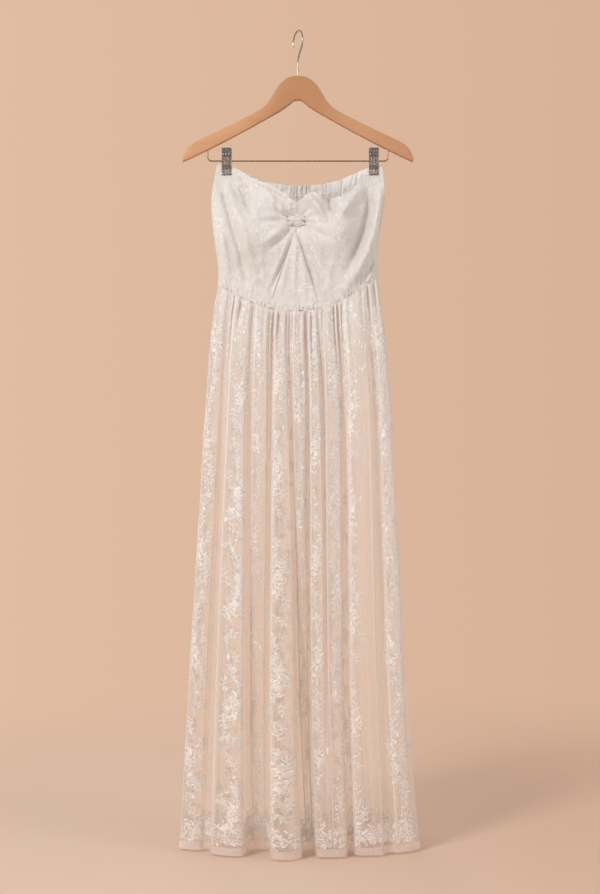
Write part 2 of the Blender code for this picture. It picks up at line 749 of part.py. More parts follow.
def make_spring(name, clip_x, steel):
    """Coil of the clip's spring, as a sleeve round the bar."""
    inner = BAR_RADIUS + 0.0004
    outer = 0.0036
    half = 0.0055
    sides = 16
    build = bmesh.new()
    rings = []
    for radius, x in ((inner, -half), (outer, -half), (outer, half), (inner, half)):
        ring = []
        for k in range(sides):
            angle = 2.0 * math.pi * k / sides
            ring.append(build.verts.new((clip_x + x, radius * math.cos(angle),
                                         BAR_Z + radius * math.sin(angle))))
        rings.append(ring)
    for k in range(4):
        here, there = rings[k], rings[(k + 1) % 4]
        for i in range(sides):
            j = (i + 1) % sides
            build.faces.new((here[i], here[j], there[j], there[i]))
    add_object(name, build, steel)


def make_clips(steel):
    for hand, clip_x in zip(CLIP_NAMES, CLIP_X):
        make_jaw(f"clip_{hand}_front_jaw", clip_x, FRONT, steel)
        make_jaw(f"clip_{hand}_back_jaw", clip_x, BACK, steel)
        make_spring(f"clip_{hand}_spring", clip_x, steel)


def main():
    for old in list(bpy.data.objects):
        bpy.data.objects.remove(old, do_unlink=True)
    lined_lace = material("ivory_lined_lace", (0.80, 0.75, 0.70), 0.85)
    sheer_lace = material("ivory_sheer_lace", (0.78, 0.66, 0.58), 0.90)
    plain_band = material("ivory_band", (0.82, 0.76, 0.70), 0.80)
    beech = material("beech", (0.56, 0.31, 0.17), 0.45)
    dark_steel = material("dark_plated_steel", (0.20, 0.16, 0.15), 0.35, 1.0)
    wire_steel = material("bronzed_wire", (0.30, 0.22, 0.17), 0.35, 1.0)
    make_bodice(lined_lace, plain_band)
    make_centre_tab(lined_lace)
    make_waist_bands(plain_band)
    make_skirt(sheer_lace, plain_band)
    make_wood(beech)
    make_hook(wire_steel)
    make_bar(wire_steel)
    make_clips(dark_steel)


main()
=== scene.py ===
# %% [markdown]
# # A strapless lace maternity gown on a clip hanger
# The gown is a long, sheer lace skirt gathered onto a lined lace bodice. Two spring
# clips on a wire bar hold it under a wooden hanger. This lesson makes each piece as a
# thin mesh that follows a few short tables of sizes, and then gives it a material that
# says how the real thing was made.
#
# All lengths are in metres, Z is up, the gown's front faces -Y, and the origin is the
# inside top of the hanger's hook. We first load the plain solids that fix every place.

import math

import bpy
import numpy as np
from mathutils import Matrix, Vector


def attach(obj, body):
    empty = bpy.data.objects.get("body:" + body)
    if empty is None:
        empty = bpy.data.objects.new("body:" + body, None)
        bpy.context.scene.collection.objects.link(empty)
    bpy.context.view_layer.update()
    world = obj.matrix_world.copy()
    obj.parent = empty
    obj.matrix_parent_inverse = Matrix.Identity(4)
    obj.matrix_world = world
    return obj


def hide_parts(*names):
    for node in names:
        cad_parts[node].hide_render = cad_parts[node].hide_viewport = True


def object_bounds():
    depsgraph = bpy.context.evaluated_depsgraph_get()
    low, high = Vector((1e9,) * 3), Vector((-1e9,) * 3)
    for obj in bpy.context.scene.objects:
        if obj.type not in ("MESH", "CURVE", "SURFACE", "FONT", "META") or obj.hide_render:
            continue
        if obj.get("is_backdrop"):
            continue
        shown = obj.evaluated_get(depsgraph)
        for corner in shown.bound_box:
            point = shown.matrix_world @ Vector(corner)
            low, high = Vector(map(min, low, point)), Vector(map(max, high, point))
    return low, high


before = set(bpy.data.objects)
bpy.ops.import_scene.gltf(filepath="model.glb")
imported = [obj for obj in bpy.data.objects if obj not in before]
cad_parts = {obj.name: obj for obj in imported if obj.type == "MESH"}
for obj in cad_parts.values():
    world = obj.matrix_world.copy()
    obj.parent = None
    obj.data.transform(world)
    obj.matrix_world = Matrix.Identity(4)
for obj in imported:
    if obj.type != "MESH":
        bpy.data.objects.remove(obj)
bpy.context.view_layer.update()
print("solids:", sorted(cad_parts))

# %% [markdown]
# ## Working with curves through a few numbers
# Cloth has no straight lines, but it doesn't need many numbers either. A tailor notes a
# width every hand's breadth and draws a smooth line between them. `through` does that
# for whole arrays at once, `ease` is a soft step, `bell` a soft ridge, and `mix` slides
# between two values. `shares` counts the columns and rows of a grid of points.

# %% Curve helpers
def through(keys, values, at):
    """Smooth curve through a short table whose keys rise or fall steadily."""
    keys = np.asarray(keys, float)
    values = np.asarray(values, float)
    if keys[0] > keys[-1]:
        keys = keys[::-1]
        values = values[::-1]
    at = np.clip(at, keys[0], keys[-1])
    i = np.clip(np.searchsorted(keys, at) - 1, 0, len(keys) - 2)
    slopes = np.diff(values) / np.diff(keys)
    before = slopes[np.maximum(i - 1, 0)]
    after = slopes[np.minimum(i + 1, len(slopes) - 1)]
    step = keys[i + 1] - keys[i]
    start = 0.5 * (before + slopes[i]) * step
    finish = 0.5 * (slopes[i] + after) * step
    t = (at - keys[i]) / step
    return (values[i] * (2 * t**3 - 3 * t**2 + 1) + start * (t**3 - 2 * t**2 + t)
            + values[i + 1] * (3 * t**2 - 2 * t**3) + finish * (t**3 - t**2))


def ease(low, high, value):
    """0 below low, 1 above high, and a soft S between them."""
    t = np.clip((np.asarray(value, float) - low) / (high - low), 0.0, 1.0)
    return t * t * (3.0 - 2.0 * t)


def mix(a, b, share):
    """a at a share of 0, b at a share of 1, and what lies between them."""
    return a + (b - a) * share


def bell(distance, width):
    """1 at no distance, falling softly to nearly 0 at twice the width."""
    return np.exp(-(distance / width) ** 2)


def shares(columns, rows):
    """Shares from 0 to 1 across a piece, one a column, and up it, one a row."""
    return np.linspace(0.0, 1.0, columns + 1), np.linspace(0.0, 1.0, rows + 1)[:, None]


print("a soft step has risen, a quarter of the way along, to", float(ease(0.0, 1.0, 0.25)))

# %% [markdown]
# ## The gown's girth
# Like a dressmaker's chart, this table gives the half widths and the depths of the
# hanging gown at ten levels. Everything that lies on the gown starts from it.

# %% Body table
GAP = 0.0003
FRONT, BACK = -1, 1
HEM_Z = -1.558
HEM_BAND = 0.015
ELASTIC_BAND = 0.021
WAIST_BAND = 0.008
WAIST_Z = -0.472
WAIST_HALF = 0.153
WAIST_TILT = 0.04
WAIST_SAG = {FRONT: 0.061, BACK: 0.032}
BACK_NECK_Z = -0.253
BACK_NECK_SAG = 0.037
BACK_NECK_HALF = 0.142
SIDE_TOP_Z = -0.262
SIDE_ROUNDING = 0.72

BODY = np.array([
    # level   left   right  front  back
    (-0.252, 0.152, 0.160, 0.030, 0.022),
    (-0.300, 0.163, 0.165, 0.036, 0.025),
    (-0.345, 0.164, 0.161, 0.043, 0.028),
    (-0.400, 0.158, 0.153, 0.044, 0.030),
    (-0.455, 0.151, 0.151, 0.039, 0.030),
    (-0.520, 0.159, 0.157, 0.037, 0.030),
    (-0.600, 0.167, 0.168, 0.035, 0.031),
    (-0.970, 0.191, 0.191, 0.030, 0.040),
    (-1.260, 0.209, 0.207, 0.021, 0.048),
    (-1.558, 0.226, 0.232, 0.010, 0.056),
])
COLUMN = {"left": 1, "right": 2, "front": 3, "back": 4}


def body(column, z):
    """One column of the table, at any level."""
    return through(BODY[:, 0], BODY[:, COLUMN[column]], z)


def girth(level):
    """Half width of the gown at a level, and the X of its middle."""
    left = body("left", level)
    right = body("right", level)
    return 0.5 * (left + right), 0.5 * (right - left)


def tube_depth(side, x, z, level):
    """Depth of the rounded tube at x, without folds or creases."""
    half, middle = girth(level)
    share = np.minimum(np.abs(x - middle) / half, 1.0)
    depth = body("front" if side == FRONT else "back", z)
    return depth * (1.0 - share ** (2.0 / SIDE_ROUNDING)) ** (0.5 * SIDE_ROUNDING)


def waist_z(side, x):
    """Height of the waist seam at x: it tilts a little and sags towards the middle."""
    reach = np.minimum(np.abs(x) / WAIST_HALF, 1.15)
    return WAIST_Z + WAIST_TILT * x - WAIST_SAG[side] * (1.0 - reach**2)


print("width across the hem, m:", round(float(2 * girth(HEM_Z)[0]), 3))

# %% [markdown]
# ## Thin cloth from a grid of points
# A cloth piece is a grid of points on its middle surface. Moving the grid out and in by
# half the cloth's thickness and closing the rims gives a thin closed wall, which casts
# true shadows and has real edges. The grid is kept: lace motifs are laid on it later.
# A point's place on the flat cloth, in metres, goes into the UV map, so that a net or a
# weave can be drawn at its real size and never stretches along a fold.

# %% Mesh helpers
def unit(vectors):
    """The same directions, each with a length of 1."""
    return vectors / np.maximum(np.linalg.norm(vectors, axis=-1, keepdims=True), 1e-12)


def grid_normals(points, side):
    """One unit normal for each point of a grid, on the outer side of the gown."""
    normals = unit(np.cross(np.gradient(points, axis=1), np.gradient(points, axis=0)))
    return normals if normals[..., 1].mean() * side > 0.0 else -normals


def distance_along(line):
    """How far along a line each of its points lies."""
    steps = np.linalg.norm(np.diff(line, axis=0), axis=1)
    return np.concatenate([[0.0], np.cumsum(steps)])


def cloth_steps(points):
    """Flat place of each column and each row of a grid, in metres of cloth."""
    row = points[len(points) * 2 // 3]
    column = points[:, points.shape[1] // 2]
    return distance_along(row), distance_along(column)


def cloth_area(points):
    """Area of a grid of points, from the two diagonals of each cell."""
    rising = points[1:, 1:] - points[:-1, :-1]
    falling = points[1:, :-1] - points[:-1, 1:]
    return float(np.linalg.norm(np.cross(rising, falling), axis=-1).sum() / 2)


def add_piece(name, points, faces, material, replaces=(), uv=None, sharp=60.0):
    """A mesh object that rides on the gown's one body and stands for plain solids."""
    mesh = bpy.data.meshes.new(name)
    mesh.from_pydata(np.asarray(points).reshape(-1, 3).tolist(), [], faces)
    mesh.validate()
    if uv is not None:
        corners = np.empty(len(mesh.loops), dtype=np.int32)
        mesh.loops.foreach_get("vertex_index", corners)
        layer = mesh.uv_layers.new(name="flat_cloth")
        layer.data.foreach_set("uv", np.asarray(uv, float)[corners].ravel())
    mesh.materials.append(material)
    mesh.shade_smooth()
    mesh.set_sharp_from_angle(angle=math.radians(sharp))
    piece = bpy.data.objects.new(name, mesh)
    bpy.context.scene.collection.objects.link(piece)
    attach(piece, "root")
    if replaces:
        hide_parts(*replaces)
    print(f"{name}: {len(mesh.polygons)} faces")
    return piece


def grid_faces(rows, columns, flip, first=0):
    """Quads between neighbours of a grid whose points are numbered row by row."""
    corner = first + (np.arange(rows - 1)[:, None] * columns + np.arange(columns - 1)).ravel()
    quads = np.stack([corner, corner + 1, corner + columns + 1, corner + columns], axis=1)
    return (quads[:, ::-1] if flip else quads).tolist()


def closed_wall(rows, columns, outward):
    """Faces of an outer grid, the same grid inside it, and the rim that joins them.
    `outward` tells whether the outer quads, in the order of their numbers, face out."""
    count = rows * columns
    index = np.arange(count).reshape(rows, columns)
    rim = np.concatenate([index[0, :-1], index[:-1, -1], index[-1, :0:-1], index[:0:-1, 0]])
    after = np.roll(rim, -1)
    edge = np.stack([rim, rim + count, after + count, after], axis=1)
    return (grid_faces(rows, columns, not outward)
            + grid_faces(rows, columns, outward, first=count)
            + (edge if outward else edge[:, ::-1]).tolist())


def add_cloth(name, points, wall, side, material, replaces):
    """Closed thin wall round a grid. Returns its piece and what motifs need of it.
    The rims stay level, and no wall crosses the plane between front and back."""
    normals = grid_normals(points, side)
    flat = normals.copy()
    flat[[0, -1], :, 2] = 0.0
    flat = unit(flat)
    layers = []
    for face in (1.0, -1.0):
        layer = points + flat * (0.5 * wall * face)
        layer[..., 1] = side * np.maximum(side * layer[..., 1], 0.5 * GAP)
        layers.append(layer)
    probe = np.cross(points[0, 1] - points[0, 0], points[1, 0] - points[0, 0])
    faces = closed_wall(*points.shape[:2], outward=float(probe @ normals[0, 0]) > 0.0)
    s, t = cloth_steps(points)
    uv = np.stack(np.meshgrid(s, t), axis=-1).reshape(-1, 2)
    piece = add_piece(name, np.concatenate([layer.reshape(-1, 3) for layer in layers]),
                      faces, material, replaces, np.concatenate([uv, uv]))
    print(f"  {s[-1]:.3f} x {t[-1]:.3f} m of cloth, {cloth_area(points):.4f} square metres")
    return piece, {"outer": layers[0], "inner": layers[1], "normals": normals, "s": s, "t": t}


# %% [markdown]
# ## Adding a shader node
# Every material below is a Principled BSDF fed by a few texture nodes. `add_node` adds a
# node and sets its properties, and `feed` links or fills its sockets, each of which goes
# by its name, or by its number where several share a name. Colours are written as the
# sRGB hex values that a paint chart gives, and turned to linear light once, here.

# %% Node and colour helpers
def linear(hex_colour):
    """sRGB hex text to the linear colour that shaders expect."""
    parts = [int(hex_colour[k:k + 2], 16) / 255.0 for k in (1, 3, 5)]
    return tuple(p / 12.92 if p <= 0.04045 else ((p + 0.055) / 1.055) ** 2.4
                 for p in parts) + (1.0,)


def feed(tree, node, inputs):
    """Feeds sockets of a node. Each may be given a number, a colour, another node's
    output, or another node, whose first output in use is then linked."""
    for key, value in inputs.items():
        socket = node.inputs[key] if isinstance(key, int) else next(
            s for s in node.inputs if s.name == key and s.enabled)
        if isinstance(value, bpy.types.Node):
            value = next(s for s in value.outputs if s.enabled)
        if isinstance(value, bpy.types.NodeSocket):
            tree.links.new(value, socket)
        else:
            socket.default_value = value


def add_node(tree, kind, inputs=None, **settings):
    """Adds a node with its settings and feeds its sockets."""
    node = tree.nodes.new(kind)
    for name, value in settings.items():
        setattr(node, name, value)
    feed(tree, node, inputs or {})
    return node


def new_material(name, sockets):
    """A material whose Principled BSDF has the given numbers on its own sockets."""
    material = bpy.data.materials.new(name)
    material.use_nodes = True
    shader = material.node_tree.nodes["Principled BSDF"]
    feed(material.node_tree, shader, sockets)
    print("material:", name)
    return material, material.node_tree, shader


# %% [markdown]
# ## The small marks of the lace
# Not all of a lace figure is large. Round the bold leaves the machine knits masses of
# small, close marks: petals of three to eight millimetres with slits between them, and
# fine cords that wander about them. They are too many to model one by one, so the
# material draws them. A stretched Voronoi pattern gives the petals, and the lines where
# a noise crosses its middle value give the cords. Each vertex of the cloth carries a
# number, its `lace_share`, which tells how thickly they are sown there.

# %% Lace pattern
def lace_pattern(tree, place):
    """Node that gives 1 on a petal or a cord of the lace and 0 between them."""
    share = add_node(tree, "ShaderNodeAttribute", attribute_name="lace_share").outputs["Fac"]
    drift = add_node(tree, "ShaderNodeTexNoise", {"Vector": place, "Scale": 70.0, "Detail": 1.0})
    swing = add_node(tree, "ShaderNodeVectorMath", {
        "Vector": drift.outputs["Color"], "Scale": 0.020}, operation="SCALE")
    bent = add_node(tree, "ShaderNodeVectorMath", {0: place, 1: swing}, operation="ADD")
    spread = add_node(tree, "ShaderNodeVectorMath", {0: bent, 1: (245.0, 145.0, 1.0)},
                      operation="MULTIPLY")
    cells = add_node(tree, "ShaderNodeTexVoronoi", {"Vector": spread, "Scale": 1.0},
                     voronoi_dimensions="2D")
    edges = add_node(tree, "ShaderNodeTexVoronoi", {"Vector": spread, "Scale": 1.0},
                     voronoi_dimensions="2D", feature="DISTANCE_TO_EDGE")
    chance = add_node(tree, "ShaderNodeSeparateColor", {"Color": cells.outputs["Color"]})
    sown = add_node(tree, "ShaderNodeMath", {0: share, 1: chance.outputs["Red"]},
                    operation="GREATER_THAN")
    petal = add_node(tree, "ShaderNodeMapRange", {
        "Value": edges.outputs["Distance"], "From Min": 0.10, "From Max": 0.17,
        "To Max": sown})
    wander = add_node(tree, "ShaderNodeTexNoise", {"Vector": place, "Scale": 95.0, "Detail": 0.5})
    off = add_node(tree, "ShaderNodeMath", {0: wander.outputs["Fac"], 1: 0.5},
                   operation="SUBTRACT")
    away = add_node(tree, "ShaderNodeMath", {0: off}, operation="ABSOLUTE")
    reach = add_node(tree, "ShaderNodeMapRange", {
        "Value": share, "From Min": 0.08, "From Max": 0.40, "To Max": 1.0})
    cord = add_node(tree, "ShaderNodeMapRange", {
        "Value": away, "From Min": 0.018, "From Max": 0.032, "To Min": reach, "To Max": 0.0})
    return add_node(tree, "ShaderNodeMath", {0: petal, 1: cord}, operation="MAXIMUM")


# %% [markdown]
# ## Lace ground: warp-knitted net of fine ivory yarn
# A lace machine knits a fine net first. Its meshes are about 1.3 mm across; at the
# distance of a whole gown they melt into a veil. They are drawn at 2.4 mm here, a little
# coarser, so that the net still reads when seen close. The holes are true openings in
# the material's alpha, so light, shadow and the far panel come through as they should.
# The gown's weight hangs on the net, and near the hem, where nothing gathers it, the
# meshes stand widest open. Where a seam gathers the net, they are pushed shut. Along the
# shoulders of a fold they are closed too, as a painted highlight: a whiter line where the
# light falls. A number on each vertex, the `crowding_and_painted_highlight`, says how far.
# Yarn is dull, with a faint bloom where the light grazes its fibres, which is sheen.
# Light that has come through the fibres is a little warmer than light off them, most of
# all low down. That warmth low down is painted light: it stands for the warm light that
# comes up from the floor.

# %% Net material
# The warm tint of light let through; in the net it is also painted warm glow from the floor.
FILTERED_AND_FLOOR_GLOW = "#f8eadd"
NET_MESH_MM = 2.4


def let_through(tree, shader, share, cover=1.0, tone=linear(FILTERED_AND_FLOOR_GLOW)):
    """Lets a share of the light fall through a thin cloth, and opens its holes."""
    behind = add_node(tree, "ShaderNodeBsdfTranslucent", {"Color": tone})
    yarn = add_node(tree, "ShaderNodeMixShader", {"Fac": share, 1: shader, 2: behind})
    hole = add_node(tree, "ShaderNodeBsdfTransparent")
    cloth = add_node(tree, "ShaderNodeMixShader", {"Fac": cover, 1: hole, 2: yarn})
    feed(tree, tree.nodes["Material Output"], {"Surface": cloth})


def make_net(name, yarn_mm, yarn_alpha, hole_alpha, colour):
    """A net of that yarn. The two alphas tell how much its yarn and its holes hide."""
    material, tree, shader = new_material(name, {
        "Base Color": linear(colour), "Roughness": 0.85, "IOR": 1.53,
        "Specular IOR Level": 0.2, "Sheen Weight": 0.6, "Sheen Roughness": 0.35})
    place = add_node(tree, "ShaderNodeUVMap", uv_map="flat_cloth")
    net = add_node(tree, "ShaderNodeTexBrick", {
        "Vector": place, "Scale": 1000.0, "Mortar Size": 0.5 * yarn_mm,
        "Mortar Smooth": 0.3, "Brick Width": NET_MESH_MM, "Row Height": 0.72 * NET_MESH_MM},
        offset=0.5)
    ground = add_node(tree, "ShaderNodeMapRange", {
        "Value": net.outputs["Fac"], "To Min": hole_alpha, "To Max": yarn_alpha})
    shut_and_highlight = add_node(tree, "ShaderNodeAttribute", attribute_name="crowding_and_painted_highlight").outputs["Fac"]
    level = add_node(tree, "ShaderNodeSeparateXYZ", {"Vector": place})
    taut = add_node(tree, "ShaderNodeMapRange", {
        "Value": level.outputs["Y"], "From Max": 0.50, "To Min": 0.58, "To Max": 1.0})
    thread = add_node(tree, "ShaderNodeMath", {0: ground, 1: taut}, operation="MULTIPLY")
    closed = add_node(tree, "ShaderNodeMath", {0: thread, 1: shut_and_highlight}, operation="MAXIMUM")
    figure = lace_pattern(tree, place)
    cover = add_node(tree, "ShaderNodeMapRange", {
        "Value": figure, "To Min": closed, "To Max": 0.90})
    share = add_node(tree, "ShaderNodeMapRange", {
        "Value": figure, "To Min": 0.40, "To Max": 0.18})
    # Painted warm light: towards the hem the let-through light is tinted warmer, for the light
    # that comes up from the floor; near the waist it keeps the yarn's colour.
    floor_glow_fades_up = add_node(tree, "ShaderNodeMapRange", {
        "Value": level.outputs["Y"], "From Min": 0.30, "From Max": 0.95})
    tone = add_node(tree, "ShaderNodeMix", {
        "Factor": floor_glow_fades_up, "A": linear(FILTERED_AND_FLOOR_GLOW), "B": linear(colour)}, data_type="RGBA")
    let_through(tree, shader, share, cover, tone)
    return material


net = make_net("warp_knitted_ivory_net", yarn_mm=0.30, yarn_alpha=0.72, hole_alpha=0.03,
               colour="#fbf5f0")

# %% [markdown]
# ## Lace figures: dense knitted clothwork
# The flowers, leaves and stems of lace are knitted densely with a thicker, brighter
# yarn. They are nearly opaque and stand a little proud of the net. Their close parallel
# rows of stitches, about 0.8 mm apart, are drawn as a fine bump at 1.6 mm, twice as far
# apart, so that they still show. The same yarn in a single row of stitches is thin, and
# lets some light through.

# %% Clothwork material
def make_clothwork(name, dark, light, thin=0.0):
    """Dense rows of stitches in two tones. `thin` is the share of light let through."""
    material, tree, shader = new_material(name, {
        "Roughness": 0.7, "IOR": 1.53, "Specular IOR Level": 0.3,
        "Sheen Weight": 0.3, "Sheen Roughness": 0.35})
    place = add_node(tree, "ShaderNodeTexCoord")
    rows = add_node(tree, "ShaderNodeTexWave", {
        "Vector": place.outputs["Object"], "Scale": 200.0, "Distortion": 1.5,
        "Detail": 1.0}, bands_direction="Z")
    tone = add_node(tree, "ShaderNodeMix", {
        "Factor": rows.outputs["Fac"], "A": linear(dark), "B": linear(light)},
        data_type="RGBA")
    bump = add_node(tree, "ShaderNodeBump", {
        "Height": rows.outputs["Fac"], "Strength": 0.35, "Distance": 0.0003})
    feed(tree, shader, {"Base Color": tone, "Normal": bump})
    if thin:
        let_through(tree, shader, thin)
    return material


clothwork = make_clothwork("ivory_lace_clothwork", "#dad1ca", "#e8e1db")
lined_clothwork = make_clothwork("ivory_clothwork_on_lining", "#d3cdc8", "#e2ddd8")
pillar_yarn = make_clothwork("ivory_pillar_yarn", "#f0eae4", "#f8f4f0", thin=0.3)

# %% [markdown]
# ## The skirt: two panels gathered into deep folds
# Each panel is cut about 0.8 m wide at the hem and 0.55 m at the waist, and gathered onto
# a seam of little more than half that, so the spare cloth stands in folds that deepen
# towards the hem. The table lists the folds from the left side seam to the right: where each
# ends at the seam and at the hem as a share of the width, how far its crest stands out
# at three levels, how it leans, and whether the hollow beside it has closed. A sine wave
# would look like corrugated iron; here the cloth runs quickly over the crests and slowly
# down steep sides, which gives the upright tubes of real drapery.

# %% Skirt folds
SKIRT_WALL = 0.0012
FOLDS = {
    FRONT: np.array([
        # top   hem    rise_top rise_mid rise_hem lean joined
        (0.096, 0.116, 0.010, 0.018, 0.014, 0.0, 0.0),
        (0.222, 0.299, 0.013, 0.032, 0.064, 0.7, 0.0),
        (0.346, 0.365, 0.012, 0.015, 0.002, 0.0, 0.0),
        (0.447, 0.526, 0.013, 0.034, 0.090, -0.3, 0.0),
        (0.551, 0.560, 0.011, 0.013, 0.002, 0.0, 0.0),
        (0.632, 0.628, 0.012, 0.030, 0.064, 0.0, 1.0),
        (0.747, 0.705, 0.012, 0.030, 0.064, 0.0, 0.0),
        (0.919, 0.863, 0.015, 0.036, 0.058, -0.4, 0.7),
        (1.000, 1.000, 0.010, 0.020, 0.044, 0.1, 0.0),
    ]),
    BACK: np.array([
        (0.110, 0.125, 0.010, 0.016, 0.018, 0.0, 0.0),
        (0.240, 0.270, 0.012, 0.022, 0.034, -0.2, 0.0),
        (0.365, 0.380, 0.011, 0.020, 0.022, 0.2, 0.0),
        (0.495, 0.520, 0.012, 0.024, 0.036, 0.0, 0.0),
        (0.610, 0.625, 0.011, 0.020, 0.024, -0.2, 0.0),
        (0.750, 0.765, 0.012, 0.024, 0.036, 0.3, 0.0),
        (0.885, 0.880, 0.012, 0.022, 0.028, 0.0, 0.0),
        (1.000, 1.000, 0.010, 0.016, 0.016, 0.0, 0.0),
    ]),
}
FOLD_PROFILE = np.array([
    # share of the cloth from the hollow to the crest: pace sideways, share of the rise
    (0.00, 1.20, 0.00), (0.04, 0.90, 0.01), (0.09, 0.28, 0.14), (0.14, 0.12, 0.40),
    (0.20, 0.12, 0.66), (0.25, 0.32, 0.82), (0.31, 0.95, 0.91), (0.50, 1.60, 1.00),
])
FOLD_LEVELS = (0.0, 0.09, 0.42, 1.0)
SEAM_RISE = 0.003
COLUMNS_IN_FOLD = 40
print("folds:", len(FOLDS[FRONT]), "in front,", len(FOLDS[BACK]), "behind")

# %% [markdown]
# Two finer layers of relief lie on the big folds. Close gathers spring from the seam,
# about 12 mm apart, and each dies out at its own place, one or two hands' breadths
# lower. A few long, shallow ridges wander down the panel, each with its own start, end
# and height.

# %% Gathers and long ridges
LONG_RIDGES = {
    FRONT: (
        # at top and at hem, counted in folds; first and last drop; width, rise
        (0.30, 0.26, 0.03, 1.05, 0.10, 0.0035),
        (1.22, 1.30, 0.05, 0.80, 0.07, 0.0030),
        (1.72, 1.66, 0.10, 1.05, 0.08, 0.0040),
        (2.45, 2.40, 0.02, 0.60, 0.09, 0.0030),
        (3.30, 3.20, 0.06, 0.95, 0.07, 0.0035),
        (3.74, 3.80, 0.20, 1.05, 0.08, 0.0040),
        (4.50, 4.55, 0.03, 0.55, 0.10, 0.0028),
        (5.28, 5.24, 0.08, 1.05, 0.07, 0.0030),
        (5.70, 5.74, 0.04, 0.70, 0.07, 0.0028),
        (6.40, 6.50, 0.10, 0.90, 0.08, 0.0032),
        (7.22, 7.18, 0.03, 1.05, 0.07, 0.0040),
        (7.55, 7.60, 0.15, 1.05, 0.09, -0.0050),
        (8.35, 8.40, 0.05, 0.85, 0.10, 0.0030),
    ),
    BACK: (
        (0.45, 0.50, 0.05, 0.90, 0.09, 0.0030),
        (1.30, 1.24, 0.03, 1.05, 0.08, 0.0035),
        (2.20, 2.30, 0.12, 0.85, 0.08, 0.0030),
        (2.76, 2.70, 0.04, 1.05, 0.07, 0.0035),
        (3.62, 3.68, 0.06, 0.75, 0.08, 0.0030),
        (4.35, 4.30, 0.03, 1.05, 0.08, 0.0035),
        (5.25, 5.36, 0.15, 0.95, 0.08, 0.0030),
        (6.30, 6.22, 0.05, 1.05, 0.07, 0.0040),
        (7.40, 7.45, 0.08, 0.80, 0.10, 0.0030),
    ),
}


def seam_gathers(position, drop):
    """Close pleats under the seam, uneven in pitch, height and length."""
    turn = 2 * math.pi * (2.9 * position + 0.45 * np.sin(1.7 * position)
                          + 0.22 * np.sin(4.3 * position + 1.0))
    length = 0.170 + 0.070 * np.sin(2.9 * position) + 0.040 * np.sin(7.1 * position)
    height = 0.0029 * (1.0 + 0.40 * np.sin(3.7 * position + 2.0))
    pleats = np.sin(turn) + 0.45 * np.sin(1.83 * turn + 1.0)
    return height * pleats * ease(-0.004, 0.010, drop) * (1 - ease(0.1, 1.0, drop / length))


def long_ridges(side, position, drop):
    """Sum of the panel's long ridges at a place along the cloth and a share of the drop."""
    total = 0.0
    for top, hem, first, last, width, rise in LONG_RIDGES[side]:
        middle = mix(top, hem, drop) + 0.03 * np.sin(9.0 * drop + 5.0 * top)
        fade = ease(first, first + 0.12, drop) * (1.0 - ease(last - 0.2, last, drop))
        total = total + rise * fade * bell(position - middle, width)
    return total


print("long ridges:", len(LONG_RIDGES[FRONT]), "in front,", len(LONG_RIDGES[BACK]), "behind")

# %% [markdown]
# `skirt_grid` works out a whole panel at once: rows from the lower line to the upper one
# and 40 columns to each fold. `skirt_shares` sets the rows closer together near the
# waist, where the gathers need them.

# %% Skirt panel
def fold_profile(part, lean):
    """Share of the width and of the rise reached after a share of one fold's cloth.
    A leaning fold climbs slowly on its left side, or with a minus on its right."""
    fine = np.linspace(0.0, 1.0, 401)
    pace = np.interp(np.minimum(fine, 1.0 - fine), FOLD_PROFILE[:, 0], FOLD_PROFILE[:, 1])
    across = np.concatenate([[0.0], np.cumsum(0.5 * (pace[1:] + pace[:-1]))])
    flanks = []
    for share, slow in ((part, lean), (1.0 - part, -lean)):
        steep = through(FOLD_PROFILE[:, 0], FOLD_PROFILE[:, 2], np.minimum(share, 0.5))
        flanks.append(mix(steep, np.sin(0.5 * math.pi * np.minimum(share / 0.8, 1.0)),
                          np.clip(slow, 0.0, 1.0)))
    return np.interp(part, fine, across / across[-1]), flanks[0] * flanks[1]


def skirt_grid(side, low, high, row_shares):
    """Middle surface of a panel between two lines across it."""
    folds = FOLDS[side]
    count = len(folds)
    position = np.linspace(0.0, count, COLUMNS_IN_FOLD * count + 1)
    i = np.minimum(position.astype(int), count - 1)
    part = position - i
    # Near the waist a fold is a round wave, and lower down a boxy tube.
    boxy_x, boxy_rise = fold_profile(part, folds[i, 5])
    round_x = part - 0.3 * np.sin(2 * math.pi * part) / (2 * math.pi)
    round_rise = np.sin(math.pi * part) ** 1.3
    up = np.asarray(row_shares, float)[:, None]
    level = mix(low(WAIST_HALF), high(WAIST_HALF), up)
    drop = np.clip((WAIST_Z - level) / (WAIST_Z - HEM_Z), 0.0, 1.0)
    edges = np.concatenate([0.0 * drop, mix(folds[:, 0], folds[:, 1], drop)], axis=1)
    start = np.arccos(1.0 - 2.0 * np.clip(edges[:, i], 0.0, 1.0))
    finish = np.arccos(1.0 - 2.0 * np.clip(edges[:, i + 1], 0.0, 1.0))
    boxy = mix(0.30, 0.80, ease(0.02, 0.45, drop))
    even = mix(round_x, boxy_x, boxy)
    half, middle = girth(level)
    x = middle - half * np.cos(mix(start, finish, even))
    z = mix(low(x), high(x), up)
    rises = np.stack([through(FOLD_LEVELS, (SEAM_RISE, *fold[2:5]), drop[:, 0])
                      for fold in folds], axis=1)
    # A hollow that has closed is filled up between the crests beside it.
    owner = np.where(part > 0.5, i, i - 1)
    filled = folds[owner, 6] * ease(0.2, 0.9, drop)
    beside = np.clip(np.where(part > 0.5, i + 1, i - 1), 0, count - 1)
    shared = 0.5 * (1.0 - ease(0.0, 0.35, np.minimum(part, 1.0 - part)))
    rise = mix(rises[:, i], rises[:, beside], shared * filled)
    height = rise * mix(mix(round_rise, boxy_rise, boxy), 1.0, filled)
    height = height + seam_gathers(position, drop) + long_ridges(side, position, drop)
    depth = tube_depth(side, x, z, level)
    depth = depth + height * ease(0.0, 0.012, depth)
    return np.stack([x, side * (0.5 * (GAP + SKIRT_WALL) + depth), z], axis=-1)


def skirt_shares(rows):
    """Row places from the hem up, closer together near the waist."""
    return 1.0 - np.linspace(0.0, 1.0, rows + 1)[::-1] ** 1.35


